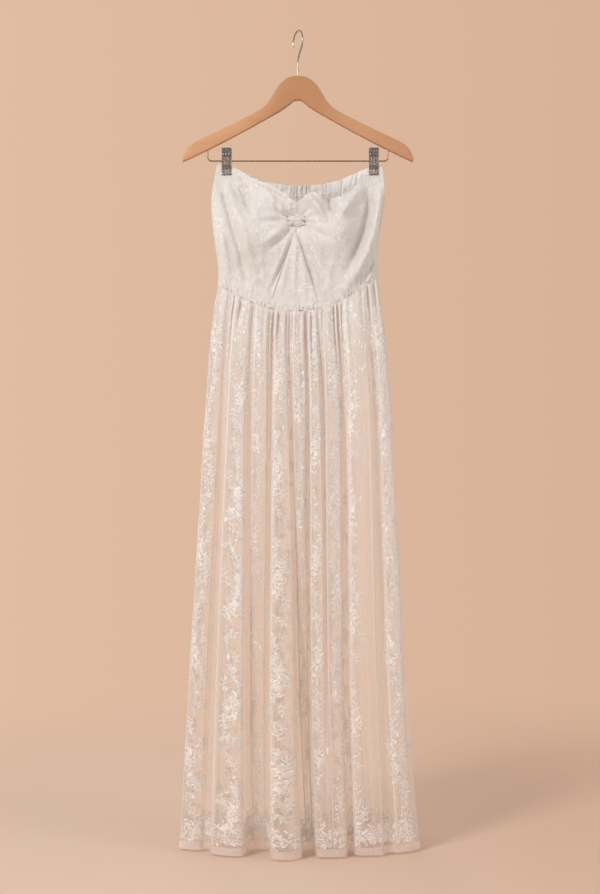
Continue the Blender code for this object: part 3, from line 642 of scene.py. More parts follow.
SKIRT_NAME = {FRONT: "front", BACK: "back"}
skirt = {}
for side in (FRONT, BACK):
    grid = skirt_grid(side, lambda x: HEM_Z + HEM_BAND + GAP + 0.0 * x,
                      lambda x: waist_z(side, x) - 0.5 * WAIST_BAND - GAP, skirt_shares(100))
    name = "skirt_" + SKIRT_NAME[side]
    piece, cloth = add_cloth(name + "_net", grid, SKIRT_WALL, side, net, [name])
    skirt[side] = {"piece": piece, "cloth": cloth, "area": cloth_area(grid)}

# %% [markdown]
# ## Pillar threads: why a fold's edge looks whiter than its face
# A knitted net isn't flat: chains of stitches, the pillars, run lengthwise and stand as
# tall as the net is thick. Seen square on they hide almost nothing. Seen from the side,
# as on the flank of a fold, they close the holes, and the veil turns white. A flat
# see-through sheet can't do that, so the pillars are made as narrow upright strips
# inside the net's thickness. Real ones stand 1.3 mm apart; these stand at the columns of
# the grid, about 2 mm apart in front and 4 mm apart at the back, on the crests and the
# upper flanks of the folds and on the crests of the gathers, where they catch the light.

# %% Pillar threads
PILLAR_EVERY = {FRONT: 1, BACK: 2}
PILLAR_ON_GATHER = 0.0017


def add_pillars(name, cloth, folds, every, material):
    """Strips between the outer and the inner wall, along every so many columns."""
    outer, inner = cloth["outer"], cloth["inner"]
    rows, columns = outer.shape[:2]
    position = np.linspace(0.0, folds, columns)
    part = position % 1.0
    drop = 1.0 - cloth["t"][:-1, None] / cloth["t"][-1]
    shown = np.where((part > 0.20) & (part < 0.80), np.arange(columns) % every == 0,
                     seam_gathers(position, drop) > PILLAR_ON_GATHER)
    shown[:, [0, -1]] = False
    row, column = np.nonzero(shown)
    corner = row * columns + column
    count = rows * columns
    strips = np.stack([corner, corner + columns, corner + columns + count, corner + count],
                      axis=1)
    used, renumbered = np.unique(strips, return_inverse=True)
    points = np.concatenate([outer.reshape(-1, 3), inner.reshape(-1, 3)])[used]
    return add_piece(name, points, renumbered.reshape(-1, 4).tolist(), material)


for side in (FRONT, BACK):
    skirt[side]["pillars"] = add_pillars(
        "skirt_" + SKIRT_NAME[side] + "_pillars", skirt[side]["cloth"], len(FOLDS[side]),
        PILLAR_EVERY[side], pillar_yarn)

# %% [markdown]
# ## The turned hem
# The hem is turned up once and stitched, so the last 15 mm are two layers of net on each
# other and look much denser than the skirt. The band repeats the skirt's own grid.

# %% Hem bands
BAND_WALL = 0.0020
folded_net = make_net("folded_ivory_net", yarn_mm=0.6, yarn_alpha=0.95, hole_alpha=0.50,
                      colour="#fbf6f2")
for side in (FRONT, BACK):
    grid = skirt_grid(side, lambda x: HEM_Z + 0.0 * x, lambda x: HEM_Z + HEM_BAND + 0.0 * x,
                      np.linspace(0.0, 1.0, 6))
    name = "hem_" + SKIRT_NAME[side]
    skirt[side]["hem"] = add_cloth(name + "_turned", grid, BAND_WALL, side, folded_net,
                                   [name])[0]

# %% [markdown]
# ## The lined bodice
# The bodice is the same lace over an opaque ivory lining: two cups, a tall triangular
# inset between them and a plain back. It hangs empty, so nothing fills it but its own
# stiffness, and long soft ridges run down from the clips. The tables give each ridge or
# trough the way it is seen, as a line of points with a width and a height.

# %% Necklines and bodice creases
FRONT_NECK = np.array([
    (-0.162, -0.268), (-0.152, -0.254), (-0.130, -0.256), (-0.105, -0.269),
    (-0.085, -0.283), (-0.055, -0.297), (-0.025, -0.315), (-0.003, -0.330),
    (0.026, -0.312), (0.048, -0.321), (0.085, -0.318), (0.103, -0.305),
    (0.118, -0.286), (0.134, -0.266), (0.152, -0.254), (0.165, -0.264),
])
CENTRE_X = -0.003
APEX_Z = -0.380
APEX_SHARE = 0.74
INSET_BLUNT = 0.014
INSET_LEFT = -0.054
INSET_RIGHT = 0.040
CLIP_X = (-0.136, 0.145)
CLIP_WIDTH = 0.0185
CLIP_FOOT = -0.274

BODICE_CREASES = (
    # line of (x, z) points                                             width   height
    (((-0.135, -0.276), (-0.128, -0.311), (-0.116, -0.350), (-0.103, -0.388),
      (-0.090, -0.436), (-0.077, -0.474)), 0.0080, 0.0110),
    (((-0.148, -0.279), (-0.140, -0.317), (-0.130, -0.355), (-0.118, -0.393),
      (-0.104, -0.439), (-0.092, -0.478)), 0.0060, -0.0080),
    (((-0.106, -0.288), (-0.098, -0.321), (-0.090, -0.350)), 0.0080, -0.0160),
    (((-0.106, -0.345), (-0.090, -0.392), (-0.077, -0.440)), 0.0150, 0.0080),
    (((-0.088, -0.290), (-0.086, -0.330), (-0.076, -0.370)), 0.0080, 0.0045),
    (((-0.086, -0.296), (-0.046, -0.313), (-0.014, -0.338)), 0.0045, -0.0050),
    (((-0.052, -0.318), (-0.042, -0.338)), 0.0050, 0.0070),
    (((-0.036, -0.336), (-0.026, -0.352)), 0.0045, 0.0060),
    (((-0.044, -0.342), (-0.032, -0.356)), 0.0040, -0.0045),
    (((-0.018, -0.330), (-0.013, -0.348)), 0.0045, 0.0060),
    (((-0.010, -0.374), (-0.030, -0.401), (-0.052, -0.422)), 0.0045, -0.0055),
    (((-0.015, -0.368), (-0.042, -0.392), (-0.066, -0.412)), 0.0065, 0.0055),
    (((-0.020, -0.360), (-0.050, -0.368), (-0.078, -0.372)), 0.0060, -0.0040),
    (((-0.004, -0.380), (-0.026, -0.436), (-0.049, -0.492)), 0.0036, -0.0062),
    (((-0.012, -0.392), (-0.033, -0.440), (-0.056, -0.490)), 0.0048, 0.0040),
    (((-0.002, -0.384), (0.018, -0.446), (0.038, -0.506)), 0.0036, -0.0062),
    (((0.006, -0.390), (0.026, -0.446), (0.044, -0.498)), 0.0050, 0.0035),
    (((-0.003, -0.400), (-0.006, -0.450), (-0.008, -0.505)), 0.0050, 0.0040),
    (((0.006, -0.425), (0.012, -0.465), (0.016, -0.505)), 0.0045, 0.0030),
    (((-0.018, -0.440), (-0.026, -0.470), (-0.032, -0.505)), 0.0045, 0.0030),
    (((0.017, -0.316), (0.034, -0.338), (0.054, -0.364)), 0.0065, 0.0130),
    (((0.058, -0.316), (0.062, -0.334), (0.070, -0.354)), 0.0110, -0.0210),
    (((0.046, -0.330), (0.050, -0.350), (0.062, -0.372)), 0.0050, -0.0040),
    (((0.130, -0.284), (0.100, -0.328), (0.072, -0.364)), 0.0095, 0.0130),
    (((0.014, -0.372), (0.040, -0.392), (0.064, -0.402)), 0.0065, -0.0045),
    (((0.016, -0.382), (0.036, -0.412), (0.050, -0.446)), 0.0065, 0.0045),
    (((0.141, -0.294), (0.138, -0.335), (0.129, -0.376), (0.111, -0.422), (0.095, -0.456)),
     0.0095, -0.0180),
    (((0.158, -0.290), (0.153, -0.340), (0.145, -0.388), (0.128, -0.434), (0.110, -0.466),
      (0.090, -0.492)), 0.0110, 0.0170),
    (((0.123, -0.335), (0.112, -0.385), (0.092, -0.432)), 0.0180, -0.0130),
    (((0.157, -0.400), (0.146, -0.438), (0.130, -0.468)), 0.0060, -0.0060),
    (((0.152, -0.430), (0.142, -0.458), (0.130, -0.486)), 0.0050, 0.0050),
    (((-0.146, -0.378), (-0.138, -0.430), (-0.130, -0.470)), 0.0065, 0.0070),
    (((-0.112, -0.440), (-0.104, -0.464), (-0.098, -0.488)), 0.0060, -0.0050),
    (((-0.072, -0.430), (-0.066, -0.462), (-0.064, -0.496)), 0.0060, 0.0035),
    (((0.064, -0.440), (0.060, -0.470), (0.060, -0.500)), 0.0060, 0.0035),
)
BODICE_SWELLINGS = (
    # middle      radius  height
    (-0.070, -0.385, 0.042, 0.013),
    (0.074, -0.392, 0.040, 0.012),
    (-0.003, -0.364, 0.030, -0.014),
)
print("front bodice:", len(BODICE_CREASES), "ridges and troughs")

# %% [markdown]
# `front_relief` adds up the ridges, the swell of the two cups, and the small pleats that
# run out like a star from the point where the centre tab pulls the cups together.

# %% Bodice relief
STAR_Z = -0.366
FAR_AWAY = 1e9


def crease_relief(x, z, creases):
    """Height of all the ridges and troughs of a table, each fading out at both ends."""
    total = np.zeros(np.broadcast(x, z).shape)
    for line, width, height in creases:
        nearest = np.full(total.shape, FAR_AWAY)
        along = np.zeros(total.shape)
        pieces = len(line) - 1
        for k, ((x0, z0), (x1, z1)) in enumerate(zip(line, line[1:])):
            run = np.array([x1 - x0, z1 - z0])
            t = ((x - x0) * run[0] + (z - z0) * run[1]) / (run @ run)
            inside = np.clip(t, 0.0, 1.0)
            distance = np.hypot(x - x0 - inside * run[0], z - z0 - inside * run[1])
            closer = distance < nearest
            nearest = np.where(closer, distance, nearest)
            along = np.where(closer, (k + inside) / pieces, along)
        taper = mix(0.35, 1.0, ease(0.0, 0.25, along) * (1.0 - ease(0.7, 1.0, along)))
        total += height * taper * bell(nearest, width)
    return total


def star_pleats(x, z):
    """Small pleats that run out from the centre tab."""
    dx, dz = x - CENTRE_X, z - STAR_Z
    distance = np.hypot(dx, dz)
    angle = np.arctan2(dz, dx)
    pleats = np.sin(13.0 * angle + 1.5 * np.sin(2.0 * angle + 0.6))
    sideways = 0.25 + 0.75 * np.cos(angle) ** 2
    return 0.0022 * pleats * sideways * ease(0.008, 0.018, distance) * bell(distance, 0.042)


def waist_pleats(side, x, z):
    """Short pleats above the waist seam, where the skirt's gathers pull on it."""
    rise = z - waist_z(side, x)
    turn = 2 * math.pi * (x / 0.0125 + 0.45 * np.sin(x / 0.017) + 0.30 * np.sin(x / 0.0067 + 1.0))
    height = 0.0010 * (1.0 + 0.6 * np.sin(x / 0.023 + 2.0) + 0.35 * np.sin(x / 0.0091))
    return height * np.sin(turn) * bell(rise, 0.017 + 0.010 * np.sin(x / 0.014))


def clip_pinch(x, z, reach=0.070):
    """0 where a clip holds front and back together, rising to 1 away from it. The hold
    reaches 3 mm past the clip's sides and 12 mm below its foot."""
    free = np.ones(np.broadcast(x, z).shape)
    for clip_x in CLIP_X:
        aside = np.maximum(np.abs(x - clip_x) - 0.5 * CLIP_WIDTH - 0.003, 0.0)
        below = np.maximum(CLIP_FOOT - 0.012 - z, 0.0)
        free = np.minimum(free, ease(0.0, reach, np.hypot(aside, 0.8 * below)))
    return free


def front_relief(x, z):
    """All the relief of the front: ridges, pleats and the swell of the cups."""
    total = crease_relief(x, z, BODICE_CREASES) + star_pleats(x, z) + waist_pleats(FRONT, x, z)
    for middle_x, middle_z, radius, height in BODICE_SWELLINGS:
        total = total + height * bell(np.hypot(x - middle_x, z - middle_z), radius)
    return total


print("the left cup stands out, m:",
      round(float(front_relief(*BODICE_SWELLINGS[0][:2])), 4))

# %% [markdown]
# The back is shirred: several rows of elastic thread are stitched along its top edge, so
# the band puckers into upright ruffles that fade out below it. They stand about 10 mm
# apart, but elastic never puckers evenly, so their pitch and their height vary.

# %% Back relief
def back_neck_z(x):
    """Height of the back's top edge."""
    reach = np.minimum(np.abs(x - 0.004) / BACK_NECK_HALF, 1.0)
    corner = 0.010 * ease(0.150, 0.166, np.abs(x))
    return BACK_NECK_Z - BACK_NECK_SAG * (1.0 - reach**2) - corner


BACK_CREASES = (
    (((-0.128, -0.290), (-0.118, -0.350), (-0.100, -0.420)), 0.012, 0.0055),
    (((-0.142, -0.300), (-0.134, -0.360), (-0.126, -0.410)), 0.010, -0.0040),
    (((0.134, -0.288), (0.124, -0.350), (0.104, -0.425)), 0.012, 0.0055),
    (((0.146, -0.300), (0.138, -0.370), (0.130, -0.420)), 0.009, -0.0035),
    (((-0.060, -0.330), (-0.050, -0.390), (-0.054, -0.450)), 0.012, 0.0035),
    (((0.010, -0.335), (0.004, -0.400), (0.010, -0.460)), 0.013, 0.0030),
    (((0.064, -0.325), (0.058, -0.380), (0.066, -0.440)), 0.011, 0.0035),
    (((-0.020, -0.340), (-0.026, -0.400)), 0.010, -0.0028),
    (((0.036, -0.335), (0.034, -0.390)), 0.010, -0.0028),
)


def back_relief(x, z):
    """Ruffles and stitched rows under the top edge, pleats and creases below."""
    below = back_neck_z(x) - z
    turn = 2 * math.pi * (x / 0.0100 + 0.55 * np.sin(x / 0.011) + 0.35 * np.sin(x / 0.0047 + 2.0))
    height = 0.0019 * (1.0 + 0.5 * np.sin(x / 0.019 + 1.0) + 0.3 * np.sin(x / 0.0063))
    turn = turn + 1.2 * np.sin(below / 0.008 + x / 0.02)
    fade = 1.0 - ease(0.3, 1.0, below / (0.055 + 0.025 * np.sin(x / 0.011)))
    rows = 0.0003 * np.sin(2 * math.pi * below / 0.0052) * (1.0 - ease(0.8, 1.0, below / 0.022))
    return (height * np.sin(turn) * fade + rows + waist_pleats(BACK, x, z)
            + crease_relief(x, z, BACK_CREASES))


print("the back's top edge, in the middle, m:", round(float(back_neck_z(0.0)), 3))

BODICE_WALL = 0.0014


def bodice_y(side, x, z, level):
    """Y of the bodice's middle surface: the tube and its relief, pinched by the clips."""
    depth = tube_depth(side, x, z, level)
    relief = front_relief(x, z) if side == FRONT else back_relief(x, z)
    relief = relief * ease(0.0, 0.024 if side == FRONT else 0.014, depth)
    depth = np.maximum(depth * clip_pinch(x, z) + relief * clip_pinch(x, z, 0.022), 0.0)
    return side * (0.5 * (GAP + BODICE_WALL) + depth)


# %% [markdown]
# ## Cutting the bodice pieces
# Each cup runs from its side seam to the inset and, above the inset's tip, to the other
# cup. Their shared edge is one function, so the pieces meet without a gap at any level.

# %% Cups, inset and back
def front_neck_z(x):
    """Height of the front's top edge."""
    return through(FRONT_NECK[:, 0], FRONT_NECK[:, 1], x)


def inset_edge(foot_x, share):
    """Where a cup meets the inset, and above the inset's tip the other cup."""
    low_rise = np.minimum(share / APEX_SHARE, 1.0)
    high_rise = np.maximum((share - APEX_SHARE) / (1.0 - APEX_SHARE), 0.0)
    x = mix(foot_x, CENTRE_X, low_rise)
    z_low = mix(waist_z(FRONT, foot_x), APEX_Z, low_rise)
    z_high = mix(APEX_Z, front_neck_z(CENTRE_X), high_rise)
    return x, np.where(share < APEX_SHARE, z_low, z_high)


def above_waist(side, points):
    """Ends the lowest row just above the waist seam."""
    points[0, :, 2] = waist_z(side, points[0, :, 0]) + 0.5 * WAIST_BAND + GAP
    return points


def cup_grid(hand, columns, rows):
    """A cup from its side seam in. The hand is -1 for the left cup and 1 for the right."""
    foot_x = INSET_LEFT if hand < 0 else INSET_RIGHT
    across, up = shares(columns, rows)
    level = mix(WAIST_Z, SIDE_TOP_Z, up)
    half, middle = girth(level)
    inner_x, inner_z = inset_edge(foot_x, up)
    inner_x = inner_x + hand * 0.5 * GAP
    last_angle = np.arccos(hand * (inner_x - middle) / half)
    x = middle + hand * half * np.cos(across * last_angle)
    z = mix(waist_z(FRONT, x), front_neck_z(x), up)
    z_at_edge = mix(waist_z(FRONT, inner_x), front_neck_z(inner_x), up)
    z = z + (inner_z - z_at_edge) * across**2
    return above_waist(FRONT, np.stack([x, bodice_y(FRONT, x, z, level), z], axis=-1))


def inset_grid(columns, rows):
    """The inset between the cups, cut off just under its tip."""
    across, up = shares(columns, rows)
    share = (APEX_SHARE - INSET_BLUNT) * up
    left_x, left_z = inset_edge(INSET_LEFT, share)
    right_x, right_z = inset_edge(INSET_RIGHT, share)
    x = mix(left_x + 0.5 * GAP, right_x - 0.5 * GAP, across)
    chord = mix(waist_z(FRONT, INSET_LEFT), waist_z(FRONT, INSET_RIGHT), across)
    z = mix(left_z, right_z, across) + (waist_z(FRONT, x) - chord) * (1.0 - up)
    y = bodice_y(FRONT, x, z, mix(WAIST_Z, SIDE_TOP_Z, share))
    return above_waist(FRONT, np.stack([x, y, z], axis=-1))


def back_grid(low, high, columns, rows):
    """The back, or its elastic band, between two lines across it."""
    across, up = shares(columns, rows)
    level = mix(low(WAIST_HALF), high(WAIST_HALF), up)
    half, middle = girth(level)
    x = middle - half * np.cos(math.pi * across)
    z = mix(low(x), high(x), up)
    return np.stack([x, bodice_y(BACK, x, z, level), z], axis=-1)


print("the cups meet from", APEX_Z, "m up to", round(float(front_neck_z(CENTRE_X)), 3), "m")

# %% [markdown]
# ## Lined lace
# The lining is a matt ivory knit, so no light comes through. The lace over it shows as
# a slightly lighter, slightly raised net with small soft shadows in its meshes: a bump
# from the net's own pattern, drawn at 2.4 mm, and a cloudy change of tone, about 14 mm
# wide, from the way the two cloths touch or stand apart.

# %% Lined lace material
def make_lined_lace(name, low_tone, high_tone, figure_tone):
    """Lace over an opaque lining: two cloudy tones, and a third for its small marks."""
    material, tree, shader = new_material(name, {
        "Roughness": 0.82, "IOR": 1.53, "Specular IOR Level": 0.25,
        "Sheen Weight": 0.25, "Sheen Roughness": 0.4})
    place = add_node(tree, "ShaderNodeUVMap", uv_map="flat_cloth")
    mesh_lines = add_node(tree, "ShaderNodeTexVoronoi", {
        "Vector": place, "Scale": 1000.0 / NET_MESH_MM, "Randomness": 0.6},
        feature="DISTANCE_TO_EDGE")
    clouds = add_node(tree, "ShaderNodeTexNoise", {
        "Vector": place, "Scale": 70.0, "Detail": 4.0, "Roughness": 0.6})
    tone = add_node(tree, "ShaderNodeValToRGB", {"Fac": clouds.outputs["Fac"]})
    tone.color_ramp.elements[0].position = 0.28
    tone.color_ramp.elements[0].color = linear(low_tone)
    tone.color_ramp.elements[1].position = 0.72
    tone.color_ramp.elements[1].color = linear(high_tone)
    figure = lace_pattern(tree, place)
    figured = add_node(tree, "ShaderNodeMix", {
        "Factor": figure, "A": tone, "B": linear(figure_tone)}, data_type="RGBA")
    relief = add_node(tree, "ShaderNodeMath", {
        0: mesh_lines.outputs["Distance"], 1: -2.0, 2: figure}, operation="MULTIPLY_ADD")
    fine = add_node(tree, "ShaderNodeBump", {
        "Height": relief, "Strength": 0.6, "Distance": 0.0006})
    soft = add_node(tree, "ShaderNodeBump", {
        "Height": clouds.outputs["Fac"], "Strength": 0.5, "Distance": 0.0020,
        "Normal": fine})
    feed(tree, shader, {"Base Color": figured, "Normal": soft})
    return material


lined_lace = make_lined_lace("ivory_lace_over_lining", "#d1c9c1", "#ded7cf", "#e6e0d9")
# The shirred band is the same lace in lighter tones: painted light, for the light it misses in the
# shade of the front.
shirred_lace_painted_lighter = make_lined_lace("ivory_shirred_lace_painted_lighter", "#ddd5cd", "#eae3dc", "#eae3dc")

# %% [markdown]
# The five main pieces of the bodice are made at once. A cup has a column and a row for
# every 2.5 mm of cloth or so, which is fine enough for its sharpest crease.

# %% Make the bodice
bodice = {}
for hand, name in ((-1, "left"), (1, "right")):
    grid = cup_grid(hand, 92, 104)
    bodice[name] = add_cloth(f"bodice_{name}_cup", grid, BODICE_WALL, FRONT, lined_lace,
                             [f"bodice_front_{name}"]) + (cloth_area(grid),)
grid = inset_grid(40, 60)
bodice["inset"] = add_cloth("midriff_inset_lace", grid, BODICE_WALL, FRONT, lined_lace,
                            ["midriff_inset"]) + (cloth_area(grid),)
grid = back_grid(lambda x: waist_z(BACK, x) + 0.5 * WAIST_BAND + GAP,
                 lambda x: back_neck_z(x) - ELASTIC_BAND - GAP, 240, 70)
bodice["back"] = add_cloth("bodice_back_lace", grid, BODICE_WALL, BACK, lined_lace,
                           ["bodice_back"]) + (cloth_area(grid),)
grid = back_grid(lambda x: back_neck_z(x) - ELASTIC_BAND, back_neck_z, 300, 14)
bodice["elastic"] = add_cloth("back_shirred_band", grid, BODICE_WALL, BACK, shirred_lace_painted_lighter,
                              ["back_elastic_band"]) + (cloth_area(grid),)

# %% [markdown]
# ## The centre tab
# A short loop of the same lace is wrapped round the join of the cups and sewn shut
# behind. It is ruched: the cloth is pushed together along its length, so it stands in a
# few soft lumps that cross each other, and its outline is uneven. The lumps are placed
# one by one.

# %% Centre tab
TAB_Z = -0.365
TAB_HALF_WIDTH = 0.0165
TAB_HALF_HEIGHT = 0.0105
TAB_STANDS_OUT = 0.0028
TAB_LUMPS = (
    # across, up (both -1 to 1), reach across, reach up, height
    (-0.55, 0.45, 0.45, 0.28, 0.0030), (0.10, 0.60, 0.40, 0.25, 0.0034),
    (0.62, 0.30, 0.38, 0.30, 0.0030), (-0.10, 0.02, 0.55, 0.24, 0.0042),
    (-0.62, -0.25, 0.35, 0.30, 0.0026), (0.50, -0.35, 0.42, 0.26, 0.0030),
    (-0.05, -0.60, 0.40, 0.28, 0.0032),
)


def tab_grid(columns, rows):
    """The tab's outer cloth: a on it counts across and b up, both from -1 to 1."""
    a = np.linspace(-1.0, 1.0, columns + 1)
    b = np.linspace(-1.0, 1.0, rows + 1)[:, None]
    edge_x = 0.94 + 0.13 * np.sin(5.0 * b + 0.5) + 0.07 * np.sin(9.0 * b)
    edge_z = 0.94 + 0.14 * np.sin(4.0 * a + 1.0) + 0.08 * np.sin(7.0 * a + 0.6)
    x = CENTRE_X + TAB_HALF_WIDTH * a * edge_x
    z = TAB_Z + TAB_HALF_HEIGHT * b * edge_z
    swell = 0.0030 * (1.0 - a * a) * (1.0 - b * b)
    for across, up, reach_a, reach_b, height in TAB_LUMPS:
        twist = b - up + 0.35 * (a - across) * np.sign(across + 0.1)
        swell = swell + height * bell(a - across, reach_a) * bell(twist, reach_b)
    swell = swell * ease(0.0, 0.45, 1.0 - np.maximum(np.abs(a), np.abs(b)))
    cup = tube_depth(FRONT, x, z, z) + sum(
        height * bell(np.hypot(x - mx, z - mz), radius)
        for mx, mz, radius, height in BODICE_SWELLINGS)
    y = -(0.5 * (GAP + BODICE_WALL) + cup * clip_pinch(x, z)) - TAB_STANDS_OUT - swell
    return np.stack([x, y, z], axis=-1)


grid = tab_grid(44, 40)
bodice["tab"] = add_cloth("centre_tab_ruched", grid, BODICE_WALL, FRONT, lined_lace,
                          ["centre_tab"]) + (cloth_area(grid),)

# %% [markdown]
# ## The waist seam
# Skirt and bodice are joined over a narrow casing. The gathers push it into a small
# frill: it sways in and out every 9 mm or so, and its lower edge wavers more slowly.

# %% Waist seam bands
def waist_grid(side, columns, rows):
    """The band over the waist seam, from side seam to side seam."""
    across, up = shares(columns, rows)
    half, middle = girth(WAIST_Z)
    x = middle - half * np.cos(math.pi * across) + 0.0 * up
    turn = 2 * math.pi * (x / 0.0088 + 0.5 * np.sin(x / 0.015) + 0.3 * np.sin(x / 0.0053))
    waver = 0.0012 * np.sin(x / 0.0047 + 1.5 * np.sin(x / 0.016)) + 0.0008 * np.sin(x / 0.0029)
    z = waist_z(side, x) + (up - 0.5) * WAIST_BAND + waver * mix(1.0, 0.2, up)
    frill = 0.0012 * np.sin(turn) * (1.0 + 0.6 * np.sin(x / 0.012)) + 0.0004 * np.sin(math.pi * up)
    depth = tube_depth(side, x, z, WAIST_Z)
    depth = depth + frill * ease(0.0, 0.012, depth)
    return np.stack([x, side * (0.5 * (GAP + BAND_WALL) + depth), z], axis=-1)


for side in (FRONT, BACK):
    grid = waist_grid(side, 260, 6)
    name = "waist_seam_" + SKIRT_NAME[side]
    bodice[name] = add_cloth(name + "_frill", grid, BAND_WALL, side, lined_lace,
                             [name]) + (cloth_area(grid),)

# %% [markdown]
# ## The hanger's wood: lacquered beech
# Beech is a pale, even, reddish wood with fine pores. Flat-sawn, it shows long soft
# bands along the grain, about 8 mm wide here, and short dark flecks, the rays, about
# 3 mm long. This board is redder in the middle, under the hook. Its right arm is painted
# darker and redder: painted shade, for the light that falls from the left.
# A thin lacquer gives a soft gloss. The grain runs along each arm, so the texture is read
# from a UV map laid along the arm, in metres.

# %% Beech material
def make_beech():
    """Banded and flecked wood under a thin lacquer."""
    material, tree, shader = new_material("lacquered_beech", {
        "IOR": 1.5, "Specular IOR Level": 0.4})
    place = add_node(tree, "ShaderNodeUVMap", uv_map="flat_cloth")
    along = add_node(tree, "ShaderNodeMapping", {
        "Vector": place, "Scale": (9.0, 120.0, 1.0)}, vector_type="POINT")
    bands = add_node(tree, "ShaderNodeTexNoise", {
        "Vector": along, "Scale": 1.0, "Detail": 6.0, "Roughness": 0.6, "Distortion": 0.4})
    tone = add_node(tree, "ShaderNodeValToRGB", {"Fac": bands.outputs["Fac"]})
    tone.color_ramp.elements[0].position = 0.30
    tone.color_ramp.elements[0].color = linear("#c38c63")
    tone.color_ramp.elements[1].position = 0.70
    tone.color_ramp.elements[1].color = linear("#ca9870")
    short = add_node(tree, "ShaderNodeMapping", {
        "Vector": place, "Scale": (330.0, 1500.0, 1.0)}, vector_type="POINT")
    flecks = add_node(tree, "ShaderNodeTexVoronoi", {"Vector": short, "Scale": 1.0})
    dark = add_node(tree, "ShaderNodeMapRange", {
        "Value": flecks.outputs["Distance"], "From Min": 0.05, "From Max": 0.22,
        "To Min": 0.16, "To Max": 0.0})
    colour = add_node(tree, "ShaderNodeMix", {
        "Factor": dark, "A": tone, "B": linear("#a26a45")}, data_type="RGBA")
    spot = add_node(tree, "ShaderNodeTexCoord")
    sides = add_node(tree, "ShaderNodeSeparateXYZ", {"Vector": spot.outputs["Object"]})
    out = add_node(tree, "ShaderNodeMath", {0: sides.outputs["X"]}, operation="ABSOLUTE")
    # Darker and redder in the middle, under the hook.
    redder_middle = add_node(tree, "ShaderNodeMapRange", {
        "Value": out, "From Min": 0.02, "From Max": 0.13, "To Min": 0.85, "To Max": 0.0},
        interpolation_type="SMOOTHSTEP")
    colour = add_node(tree, "ShaderNodeMix", {
        "Factor": redder_middle, "A": colour, "B": linear("#b07a52")}, data_type="RGBA")
    # Painted shade: the right arm turns darker and redder, away from the light on the left.
    right_arm_painted_shade = add_node(tree, "ShaderNodeMapRange", {
        "Value": sides.outputs["X"], "From Min": 0.03, "From Max": 0.20, "To Max": 0.75})
    colour = add_node(tree, "ShaderNodeMix", {
        "Factor": right_arm_painted_shade, "A": colour, "B": linear("#b78261")}, data_type="RGBA")
    gloss = add_node(tree, "ShaderNodeMapRange", {
        "Value": bands.outputs["Fac"], "To Min": 0.36, "To Max": 0.52})
    pores = add_node(tree, "ShaderNodeBump", {
        "Height": bands.outputs["Fac"], "Strength": 0.12, "Distance": 0.0006})
    feed(tree, shader, {"Base Color": colour, "Roughness": gloss, "Normal": pores})
    return material


beech = make_beech()

# %% [markdown]
# ## The hanger's shape
# The hanger is sawn from one board and its edges are rounded over with a router. Each
# upright section goes from a point on the lower edge to one on the upper edge; a smooth
# curve through the table gives as many sections as the round edges need.

# %% Hanger wood
ARM_SECTIONS = np.array([
    # upper x, z       lower x, z
    (0.0000, -0.0850, 0.0000, -0.1310), (0.0135, -0.0864, 0.0075, -0.1330),
    (0.0265, -0.0932, 0.0200, -0.1425), (0.0375, -0.1045, 0.0335, -0.1520),
    (0.0470, -0.1195, 0.0480, -0.1602), (0.0565, -0.1345, 0.0650, -0.1698),
    (0.0700, -0.1475, 0.0830, -0.1798), (0.0950, -0.1618, 0.1070, -0.1930),
    (0.1420, -0.1850, 0.1500, -0.2155), (0.1900, -0.2078, 0.1920, -0.2362),
    (0.2065, -0.2180, 0.2060, -0.2430), (0.2160, -0.2305, 0.2150, -0.2470),
    (0.2212, -0.2450, 0.2195, -0.2490),
])
WOOD_THICKNESS = 0.0125
WOOD_EDGE = 0.0028


def wood_rings(ring_corner=6, between=5):
    """Rings round the sections, with six points to a rounded corner and five rings from
    one section of the table to the next."""
    places = np.linspace(0, len(ARM_SECTIONS) - 1, between * (len(ARM_SECTIONS) - 1) + 1)
    arm = np.stack([through(np.arange(len(ARM_SECTIONS)), ARM_SECTIONS[:, k], places)
                    for k in range(4)], axis=1)
    mirrored = arm[:0:-1] * (-1.0, 1.0, -1.0, 1.0)
    sections = np.concatenate([mirrored, arm])
    rings = []
    for upper_x, upper_z, lower_x, lower_z in sections:
        low = np.array([lower_x, 0.0, lower_z])
        high = np.array([upper_x, 0.0, upper_z])
        height = np.linalg.norm(high - low)
        upright = (high - low) / height
        radius = min(WOOD_EDGE, 0.42 * height)
        half = 0.5 * WOOD_THICKNESS - radius
        ring = []
        for corner, (sign_y, sign_up) in enumerate(((1, 1), (-1, 1), (-1, -1), (1, -1))):
            for step in range(ring_corner):
                angle = math.radians(90.0 * corner + 90.0 * step / (ring_corner - 1))
                y = sign_y * half + radius * math.cos(angle)
                rise = sign_up * (0.5 * height - radius) + radius * math.sin(angle)
                ring.append(0.5 * (low + high) + upright * rise + (0.0, y, 0.0))
        rings.append(ring)
    return np.array(rings)


def loft_faces(rings, sides):
    """Quads round a row of rings, with a cap on the first and on the last one."""
    faces = []
    for k in range(rings - 1):
        here, there = k * sides, (k + 1) * sides
        faces += [(here + i, here + (i + 1) % sides, there + (i + 1) % sides, there + i)
                  for i in range(sides)]
    return faces + [tuple(range(sides - 1, -1, -1)),
                    tuple((rings - 1) * sides + i for i in range(sides))]


rings = wood_rings()
run = distance_along(rings.mean(axis=1))[:, None]
wood_uv = np.stack([np.broadcast_to(run, rings.shape[:2]),
                    rings[..., 1] + 0.6 * rings[..., 2]], axis=-1).reshape(-1, 2)
add_piece("hanger_wood_beech", rings, loft_faces(*rings.shape[:2]), beech,
          ["hanger_wood"], wood_uv, sharp=40.0)

# %% [markdown]
# ## Plated wire: the hook and the bar
# Both are drawn steel wire. The bar is plated brown and the hook with nickel, which is
# smoother and greyer. Plating keeps the wire's own fine draw lines, so both are metals of
# middling roughness. `add_wire` sweeps a circle along a line of points, turning the
# circle as little as possible from one to the next, and rounds both ends like a wire cut
# and tumbled smooth.

